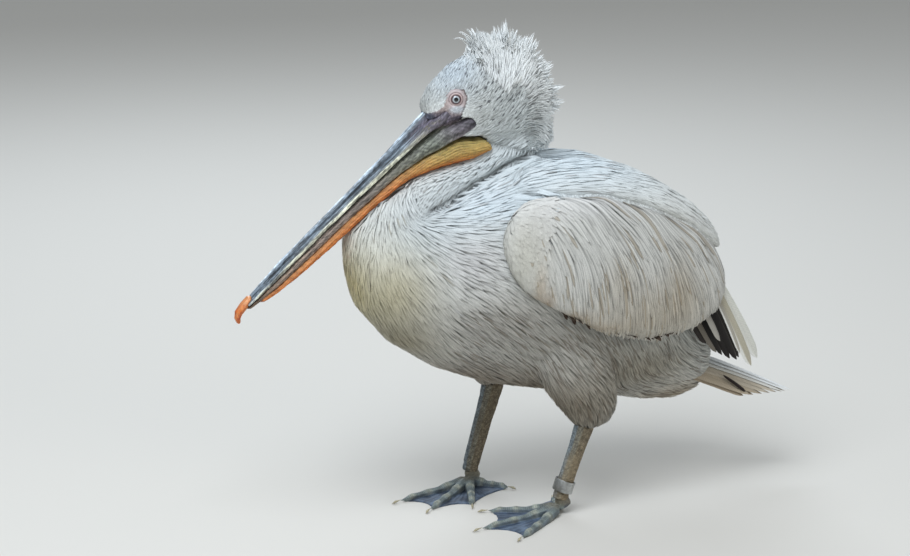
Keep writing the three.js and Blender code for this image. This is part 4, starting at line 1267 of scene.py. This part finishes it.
#  radius from the line of sight, height over the ball's middle, colour
LID_RINGS = [
    (5.9, 5.4, "#3a2d30"), (6.3, 5.8, "#514146"), (6.9, 6.0, "#6a565a"), (7.4, 5.9, "#977f7e"),
    # painted shade: the dark rings at 9.3 and 9.7 mm lie in the lid's fold
    (8.1, 5.65, "#c3b1ae"), (8.8, 5.3, "#c7b6b4"), (9.3, 4.8, "#9a8687"), (9.7, 4.45, "#6f5f61"),
    (10.3, 4.5, "#b5a5a5"), (11.3, 4.25, "#c3b7b7"), (12.5, 3.4, "#bdb1b2"), (13.4, 2.3, "#b8acad"),
    (14.4, -0.5, "#b1a6a8"),
]
for side, sign in SIDES.items():
    flip = (1, sign, 1)
    stand = looking(frame_m(EYE_AT * flip), Vector(EYE_LOOK * flip).normalized(), "Z", "Y")
    ball = bmesh.new()
    bmesh.ops.create_uvsphere(ball, u_segments=48, v_segments=64, radius=EYE_RADIUS / 1000)
    turned = np.degrees(np.arccos(np.clip([v.co.z * 1000 / EYE_RADIUS for v in ball.verts], -1, 1)))
    bmesh.ops.transform(ball, matrix=stand, verts=ball.verts)
    eye = finish_object(f"eyeball_{side}", ball)
    give_colours(eye, "eye_tint", tones(turned, BALL_CODES, BALL_STOPS))
    settle_piece(eye, eye_material, "eye", f"eye_{side}")

    lid = bmesh.new()
    loops, lid_tones = [], []
    for radius, height, code in LID_RINGS:
        made = bmesh.ops.create_circle(lid, segments=64, radius=radius / 1000)["verts"]
        for v in made:
            a = math.atan2(v.co.y, v.co.x)
            narrow = 1 - 0.07 * abs(math.sin(a)) * max(0, 1 - (radius - 6) / 3)
            crimp = (0.22 * math.sin(9 * a + radius) if radius > 9 else 0) + 0.08 * math.sin(23 * a)
            v.co = (v.co.x * (1.03 if radius > 9 else 1), v.co.y * narrow, (height + crimp) / 1000)
            lid_tones.append(rgb(code))
        loops.append([e for e in lid.edges if e.verts[0] in made and e.verts[1] in made])
    for inner, outer in zip(loops, loops[1:]):
        bmesh.ops.bridge_loops(lid, edges=inner + outer)
    bmesh.ops.recalc_face_normals(lid, faces=lid.faces)
    if sum(f.normal.z for f in lid.faces) < 0:
        bmesh.ops.reverse_faces(lid, faces=lid.faces)
    bmesh.ops.transform(lid, matrix=stand, verts=lid.verts)
    eyelid = finish_object(f"eyelids_{side}", lid)
    give_colours(eyelid, "eye_tint", np.array(lid_tones))
    softened = eyelid.modifiers.new("softened", "SUBSURF")
    softened.levels = softened.render_levels = 1
    settle_piece(eyelid, lid_material, "plumage")

# %% [markdown]
# ## The bill
# The bill is horn over bone: a flat upper mandible with a raised ridge and a groove on each
# side of it, a hooked orange nail, and two thin bars of the lower mandible that carry the
# pouch. Each starts as a fine, even copy of its solid. Its points are then moved by where
# they are along the bill and across it, which presses in the grooves and draws the horn's
# long streaks, and both numbers are kept as a map for the grain.

# %% Measures along the bill
RIDGE_LINE = np.array([(-105, 622), (-125, 603), (-151, 578), (-182, 547), (-211, 519), (-256, 477), (-304, 434),
                       (-349, 393), (-379, 364), (-403, 339), (-417, 324)], float)
RIDGE_DEPTH = np.array([34, 34, 24, 19, 17, 14, 14, 13, 11.5, 9, 7.5])
RIDGE_HALF = np.array([29, 29, 27, 23, 19, 16, 15, 16, 16, 13, 9])
DOWN = np.array((0.688, -0.726))


def along_bill(points):
    """Run from the head and drop under the ridge line, in mm, and how many rows down that line."""
    flat = points[:, (0, 2)]
    best, gone = np.full(len(flat), 1e9), 0.0
    run, drop, row = np.zeros((3, len(flat)))
    for i, (a, b) in enumerate(zip(RIDGE_LINE, RIDGE_LINE[1:])):
        way, rel = b - a, flat - a
        size = np.linalg.norm(way)
        det = DOWN[0] * way[1] - DOWN[1] * way[0]
        t = (DOWN[0] * rel[:, 1] - DOWN[1] * rel[:, 0]) / det
        d = (way[0] * rel[:, 1] - way[1] * rel[:, 0]) / -det
        miss = np.maximum(0, np.maximum(-t, t - 1))
        closer = miss < best
        best, drop = np.where(closer, miss, best), np.where(closer, d, drop)
        run = np.where(closer, gone + np.clip(t, -0.5, 1.5) * size, run)
        row = np.where(closer, i + unity(t), row)
        gone += size
    return run, drop, row


def bill_piece(name, node, voxel_mm, swell_mm):
    """A fine copy of a bill solid with its points, normals and measures, and the map for its grain."""
    obj = shell(name, [node], voxel_mm, 3, swell_mm)
    points, normals = vertex_places(obj)
    run, drop, row = along_bill(points)
    spots = np.stack([run, drop + np.abs(points[:, 1])], axis=1)[read_rows(obj.data.loops, "vertex_index", 1, np.int32)]
    layer = obj.data.uv_layers.new(name="along_bill")
    layer.data.foreach_set("uv", spots.astype(np.float32).ravel() / 100)
    return obj, points, normals, run, drop, row


def share_down(points, step=3.0):
    """0 on a piece's upper edge to 1 on its lower one, at each place along x."""
    columns = np.floor((points[:, 0] - points[:, 0].min()) / step).astype(int)
    high, low = np.full(columns.max() + 1, -1e9), np.full(columns.max() + 1, 1e9)
    np.maximum.at(high, columns, points[:, 2])
    np.minimum.at(low, columns, points[:, 2])
    at = points[:, 0].min() + (np.arange(len(high)) + 0.5) * step
    kernel = np.ones(5) / 5
    high, low = (np.convolve(np.pad(v, 2, mode="edge"), kernel, "valid") for v in (high, low))
    top, bottom = np.interp(points[:, 0], at, high), np.interp(points[:, 0], at, low)
    return unity((top - points[:, 2]) / np.maximum(top - bottom, 1))


# %% Upper mandible
upper, points, normals, run, drop, row = bill_piece("bill_upper_horn", "bill_upper", 1.2, 0.3)
rows = np.arange(len(RIDGE_LINE))
out, level = np.abs(points[:, 1]) / np.interp(row, rows, RIDGE_HALF), drop / np.interp(row, rows, RIDGE_DEPTH)
top = unity(normals[:, 2] * 2 + 0.6)
streak = waves(np.stack([run * 0.10, out * 24, level * 7], axis=1), 5)
fine = waves(np.stack([run * 0.5, out * 40, level * 12], axis=1), 6)
grooves = bell(out - 0.36, 0.05) + 0.6 * bell(out - 0.70, 0.045)
shift = (-0.9 * grooves * top + 0.22 * streak + 0.12 * fine) * np.clip((run - 25) / 30, 0.25, 1)
shift += 1.3 * between(84, 60)(run) * unity((out - 0.4) / 0.2)  # its rear closes up to the lores
move_vertices(upper, points + normals * shift[:, None])
# Across the bill: the pale blue-white top of the ridge is a painted highlight, and the dark bands at 0.36 and 0.70 are
# painted shade in the two grooves; between them is the horn's own grey, and the cream cutting edge below.
tone = tones(out, ["#c3d0da", "#a9b8c5", "#74828f", "#39424b", "#5b6874", "#8f9ba5", "#48525c", "#7d8890",
                   "#8f979a", "#c4c5b2", "#cfceb6"], [0, 0.12, 0.27, 0.36, 0.42, 0.56, 0.70, 0.76, 0.88, 0.95, 1.06])
tone *= np.clip(1 + 0.50 * streak + 0.42 * fine, 0.32, 1.5)[:, None]
rear = between(118, 72)(run) * unity((out - 0.2) / 0.15)
lores = rgb("#5f5966") * mottled(points)
tone += (lores - tone) * (0.97 * rear)[:, None]
tone = blend(tone, "#7d7757", 0.55 * rear * unity(fine) * (out > 0.75) * between(45, 70)(run))
# painted shade: the down-facing lower edge of the upper bill is near black along the mouth's gap
tone = blend(tone, "#1f1d1f", unity((level - 0.9) / 0.06) * (normals[:, 2] < 0.2) * 0.85)
give_colours(upper, "bill_tint", tone)
horn = grained("grey_mottled_bill_horn", "bill_tint", [((5, 26, 1), 4, 0.5, 1.45), ((16, 62, 1), 4, 0.6, 1.35)], 0.5,
               uv_map="along_bill", Roughness=0.42, IOR=1.54, Coat_Weight=0.15, Coat_Roughness=0.3)
settle_piece(upper, horn, "bill_horn", "bill_upper")

# %% Lower mandible
lower, points, normals, run, _, _ = bill_piece("bill_lower_horn", "bill_lower", 1.2, 0.3)
level = share_down(points)
streak = waves(np.stack([run * 0.09, points[:, 1] * 0.2, level * 10], axis=1), 7)
fine = waves(np.stack([run * 0.45, points[:, 1] * 0.5, level * 22], axis=1), 8)
belly = bell(level - 0.5, 0.35) * between(200, 60)(run)
sag = (3.0 + 3.0 * level) * between(-185, -130)(points[:, 0]) * between(-80, -102)(points[:, 0])
lift = 0.22 * streak + 0.12 * fine + 1.3 * belly
move_vertices(lower, points + normals * lift[:, None] - sag[:, None] * (0, 0, 1))
tone = tones(run, ["#2c2733", "#4c4652", "#6f6970", "#777c71", "#727266", "#7b726a", "#8c7b70", "#84705f",
                   "#5f4937"], [0, 22, 45, 80, 140, 200, 300, 380, 430])
tone *= np.clip(1 + 0.36 * streak + 0.32 * fine, 0.42, 1.45)[:, None]
tone = blend(tone, "#c0c4b0", 0.7 * bell(level - 0.05, 0.06) * between(20, 70)(run))
tone = blend(tone, "#151214", 0.92 * unity((level - 0.84) / 0.08))
give_colours(lower, "bill_tint", tone)
jaw = grained("brown_grey_jaw_horn", "bill_tint", [((6, 24, 1), 4, 0.55, 1.4), ((18, 60, 1), 4, 0.62, 1.3)], 0.6,
              uv_map="along_bill", Roughness=0.5, IOR=1.5, Coat_Weight=0.1, Coat_Roughness=0.35)
settle_piece(lower, jaw, "jaw_horn", "bill_lower")

# %% [markdown]
# ## The pouch
# The pouch is bare elastic skin, folded away under the jaw like a closed fan: ochre and
# finely wrinkled at its rear lobe, orange along its length and deepest orange at its lower
# edge. The wrinkles run with the bill, so they are waves across it, stretched along it.

# %% Pouch skin
pouch, points, normals, run, _, _ = bill_piece("pouch_skin_folds", "pouch", 1.2, 0.4)
level = share_down(points)
low = level * np.interp(run, [0, 60, 130, 300, 430], [24, 26, 15, 9, 5])  # mm under its upper edge
wander = waves(np.stack([run * 0.07, low * 0.12, points[:, 1] * 0.06], axis=1), 9)
wrinkle = np.sin(low * 2.5 + 1.8 * wander)
knob = waves(np.stack([run * 0.5, low * 1.1, points[:, 1] * 0.5], axis=1), 10)
swell = bell(level - 0.5, 0.35) * between(150, 60)(run)
rearward = 7.0 * (between(-112, -66)(points[:, 0]) ** 1.5)[:, None] * (1, 0, -0.25)
sag = (4.5 + 3.5 * level) * between(-188, -125)(points[:, 0]) * between(-58, -84)(points[:, 0])
lift = 0.4 * wrinkle + 0.2 * knob + 1.4 * swell
move_vertices(pouch, points + rearward - sag[:, None] * (0, 0, 1) + normals * lift[:, None])
lobe = tones(level, ["#8f8355", "#b59f60", "#c0a05a", "#cc9249", "#d07531", "#a04b1b"], [0, 0.18, 0.5, 0.68, 0.85, 1])
strip = tones(level, ["#b98453", "#cf8950", "#d1793c", "#ab5124"], [0, 0.3, 0.65, 1])
tone = lobe + (strip - lobe) * between(80, 170)(run)[:, None]
tone = blend(tone, "#a04a1c", 0.5 * between(330, 420)(run))
# painted shade and light: darker in the troughs of the wrinkles and a little lighter where the knobs stand up
wrinkle_shade = unity(-wrinkle - 0.3) * between(220, 90)(run) * (1 - level * 0.6)
tone *= np.clip(1 - 0.55 * wrinkle_shade + 0.16 * knob, 0.4, 1.25)[:, None]
give_colours(pouch, "bill_tint", tone)
leather = grained("orange_pouch_skin", "bill_tint", [((24, 130, 1), 6, 0.66, 1.2), ((160, 300, 1), 3, 0.85, 1.1)], 0.6,
                  uv_map="along_bill", Roughness=0.46, IOR=1.42, Subsurface_Weight=0.1)
settle_piece(pouch, leather, "pouch_skin", "pouch")

# %% Nail
nail = shell("bill_nail_hook", ["bill_nail"], 0.7, 3, 0.25)
points, normals = vertex_places(nail)
growth = waves(points * (0.4, 1.2, 0.4), 11)
give_colours(nail, "bill_tint", blend(tones(0.5 + 0.35 * growth, ["#b8521e", "#d57232", "#e29355"]), "#e6b07c",
                                      between(318, 330)(points[:, 2]) * 0.4))
nail_horn = grained("orange_nail_horn", "bill_tint", [((240, 700, 240), 4, 0.78, 1.15)], 0.4, Roughness=0.35, IOR=1.54,
                    Coat_Weight=0.2, Coat_Roughness=0.25)
settle_piece(nail, nail_horn, "nail_horn", "bill_nail")

# %% [markdown]
# ## Legs and feet
# A pelican's shank is cased in small many-sided scales, larger and bluer down the front. The
# toes have a row of narrow cross scales over each knuckle and pads where they bend, and a web
# of thin dark slate skin joins all four, drawn into fine folds that fan out with the toes.
# Even copies of the solids get the scales pressed in from cells scattered in space, and the
# distance from the nearest toe's axis decides what is toe and what is web.

# %% Measures of the legs
LEGS = {
    "left": {"ankle": (28, -85, 24), "hock": (67, -88, 137), "toes": (-103, -20, 16, 45)},
    "right": {"ankle": (-47, 85, 24), "hock": (-12, 83, 149), "toes": (-139, -72, -46, -21)},
}
TOE_LENGTHS = (62, 104, 140, 134)


def shank_axis(side):
    """Where a shank begins, over the foot, and the way that it goes up."""
    ankle, hock = (np.array(LEGS[side][key], float) for key in ("ankle", "hock"))
    return ankle, (hock - ankle) / np.linalg.norm(hock - ankle)


def cell_edges(points, cell_mm):
    """0 on the border between scales to 1 inside them, for scales of about one size."""
    near = (noise.voronoi(Vector(p))[0] for p in (points / cell_mm + 50.3).tolist())
    return unity(np.array([d[1] - d[0] for d in near]) / 0.28)


# %% Scaly shanks
scale_grains = [((220,) * 3, 5, 0.72, 1.25), ((1500,) * 3, 2, 0.85, 1.12)]
scale_skin = grained("grey_brown_leg_scales", "leg_tint", scale_grains, 0.5, Roughness=0.55, IOR=1.45,
                     Specular_IOR_Level=0.35)
for side in SIDES:
    ankle, along = shank_axis(side)
    shank = shell(f"shank_scales_{side}", [f"shank_{side}"], 1.0, 2, 0.3)
    points, normals = vertex_places(shank)
    height = (points - ankle) @ along
    front = unity(0.1 - normals[:, 0] * 0.9)
    edge = cell_edges(points + along * (height * 0.35 * front)[:, None], 4.3)
    crease = bell(height - 8, 3.0) + 0.8 * bell(height - 112, 5.0)
    knob = waves(points * 0.09, 12)
    move_vertices(shank, points + normals * (0.35 * knob - 0.55 * (1 - edge) - 0.8 * crease)[:, None])
    tone = tones(front, ["#857862", "#86806f", "#7b8890"]) * (0.42 + 0.58 * edge)[:, None]
    give_colours(shank, "leg_tint", blend(tone, "#96866a", 0.4 * unity(knob)))
    settle_piece(shank, scale_skin, "leg_skin", f"shank_{side}")

# %% Feet with toes and webs
web_skin = grained("slate_web_skin", "leg_tint", [((130,) * 3, 6, 0.7, 1.3)], 0.6, cells=520.0, Roughness=0.5, IOR=1.45,
                   Specular_IOR_Level=0.4)
for side, sign in SIDES.items():
    ankle, _ = shank_axis(side)
    foot = shell(f"webbed_foot_{side}", [f"foot_{side}"], 1.0, 2, 0.15)
    points, normals = vertex_places(foot)
    rel = points[:, :2] - ankle[:2]
    from_axis, reach = np.full(len(points), 1e9), np.zeros(len(points))
    for angle, size in zip(LEGS[side]["toes"], TOE_LENGTHS):
        a = math.radians(angle)
        way = np.array((-math.cos(a), sign * math.sin(a)))
        t = np.clip(rel @ way, 0, size)
        gap = lengths(rel - t[:, None] * way)
        from_axis, reach = np.minimum(gap, from_axis), np.where(gap < from_axis, t / size, reach)
    from_ankle, bearing = lengths(rel), np.arctan2(rel[:, 1], rel[:, 0])
    toe_half = np.interp(reach, [0, 0.22, 0.45, 0.7, 1], [9, 7.4, 6.2, 5.7, 4.1])
    toe = unity((toe_half * 1.05 - from_axis) / 2.0)
    top = unity(normals[:, 2])
    # knuckles swell, and between the cross scales the skin is pressed in
    knuckle = sum(bell(reach - k, 0.055) for k in (0.34, 0.6, 0.83))
    scales = np.abs(np.sin(from_ankle * math.pi / 3.1 + 0.4 * waves(points * 0.2, 14)))
    cross = unity(1 - scales / 0.45)
    fold = np.sin(bearing * 62 + 1.2 * waves(points * 0.08, 15)) * unity(from_ankle / 60)
    ripple = waves(points * 0.13, 16)
    lift = toe * (1.1 * knuckle - 0.55 * cross * top) + (1 - toe) * top * (0.28 * fold + 0.25 * ripple)
    sole = points[:, 2] < 0.6
    moved = points + normals * np.where(sole, 0, lift)[:, None]
    moved[:, 2] = np.where(points[:, 2] < 0.35, 0, np.maximum(moved[:, 2], 0))
    move_vertices(foot, moved)
    # painted shade and light: the web is darker where its folds and ripples are pressed in and lighter where they stand
    # up
    web_tone = tones(0.5 + 0.3 * ripple + 0.12 * fold, ["#2f3a49", "#47566a", "#64758a"])
    toe_tone = tones(0.35 + 0.5 * knuckle - 0.8 * cross * top, ["#4b545a", "#87928f", "#b0b19f"])
    heel = unity((30 - from_ankle) / 14) * unity((points[:, 2] - 9) / 8)
    give_colours(foot, "leg_tint", blend(web_tone + (toe_tone - web_tone) * toe[:, None], "#7f7763", heel * 0.8))
    settle_piece(foot, web_skin, "foot_skin", f"foot_{side}")

# %% [markdown]
# ## Claws
# Each toe ends in a short blunt claw of layered horn, pale at the top and darker towards the
# floor. They are even copies of the solids, one piece for each foot.

# %% Claws
claw_horn = grained("worn_claw_horn", "leg_tint", [((420,) * 3, 5, 0.62, 1.2)], 0.4, Roughness=0.4, IOR=1.54,
                    Coat_Weight=0.1)
for side in SIDES:
    names = [f"claw_{side}_{i}" for i in (1, 2, 3, 4)]
    claws = shell(f"claws_{side}", names, 0.6, 2, 0.2)
    points, normals = vertex_places(claws)
    points[:, 2] = np.maximum(points[:, 2], 0.05)
    move_vertices(claws, points)
    give_colours(claws, "leg_tint", tones(between(1, 6.5)(points[:, 2]), ["#8d8466", "#c9c1a2"]))
    settle_piece(claws, claw_horn, "claw_horn", *names)

# %% [markdown]
# ## Leg ring
# The band is a strip of aluminium bent round the shank until its ends nearly meet. Its
# section is spun about the shank's axis and stops short of a full turn, which leaves the
# seam, and its edges are bevelled. Nothing is stamped on it.

# %% Leg ring
RING_INNER, RING_WALL, RING_HEIGHT = 13.4, 1.4, 17.0
RING_UP, RING_TURN, RING_SEAM_AT = 18, math.radians(354), math.radians(245)
ankle, shank_way = shank_axis("left")
ring_mesh = bmesh.new()
low, high = -RING_HEIGHT / 2000, RING_HEIGHT / 2000
section = [ring_mesh.verts.new((r / 1000, 0, z)) for r, z in
           [(RING_INNER, low), (RING_INNER + RING_WALL, low), (RING_INNER + RING_WALL, high), (RING_INNER, high)]]
start = ring_mesh.faces.new(section)
bmesh.ops.spin(ring_mesh, geom=[start, *start.edges, *section], cent=(0, 0, 0), axis=(0, 0, 1),
               angle=RING_TURN, steps=72)
bmesh.ops.recalc_face_normals(ring_mesh, faces=ring_mesh.faces)
sharp = [e for e in ring_mesh.edges if len(e.link_faces) == 2 and e.calc_face_angle() > 0.8]
bmesh.ops.bevel(ring_mesh, geom=sharp, offset=0.00035, offset_type="OFFSET", segments=2, profile=0.5,
                affect="EDGES", material=-1)
stand = looking(frame_m(ankle + shank_way * RING_UP), shank_way, "Z", "X") @ Matrix.Rotation(RING_SEAM_AT, 4, "Z")
bmesh.ops.transform(ring_mesh, verts=ring_mesh.verts, matrix=stand)
band = finish_object("leg_band", ring_mesh, smooth=False)
points, _ = vertex_places(band)
give_colours(band, "ring_tint", tones(0.5 + 0.4 * waves(points * 0.3, 18), ["#85837d", "#b4b6b5", "#c9cbca"]))
ring_grains = [((300,) * 3, 5, 0.8, 1.1), ((120, 120, 2400), 4, 0.88, 1.06)]
ring_metal = grained("dulled_aluminium_band", "ring_tint", ring_grains, 0.2, Metallic=1.0, Roughness=0.42)
settle_piece(band, ring_metal, "ring_metal", "leg_ring")

# %% [markdown]
# ## Closing
# The shells were only a ground for the feathers, so they go, and the solids of tail, crest,
# tertials and primaries are hidden.

# %% Closing
for obj in grounds:
    bpy.data.objects.remove(obj)
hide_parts("tail")
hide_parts("crest")
for side in SIDES:
    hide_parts(f"wing_{side}_tertials", f"wing_{side}_primaries")
scene.view_settings.view_transform = "Standard"
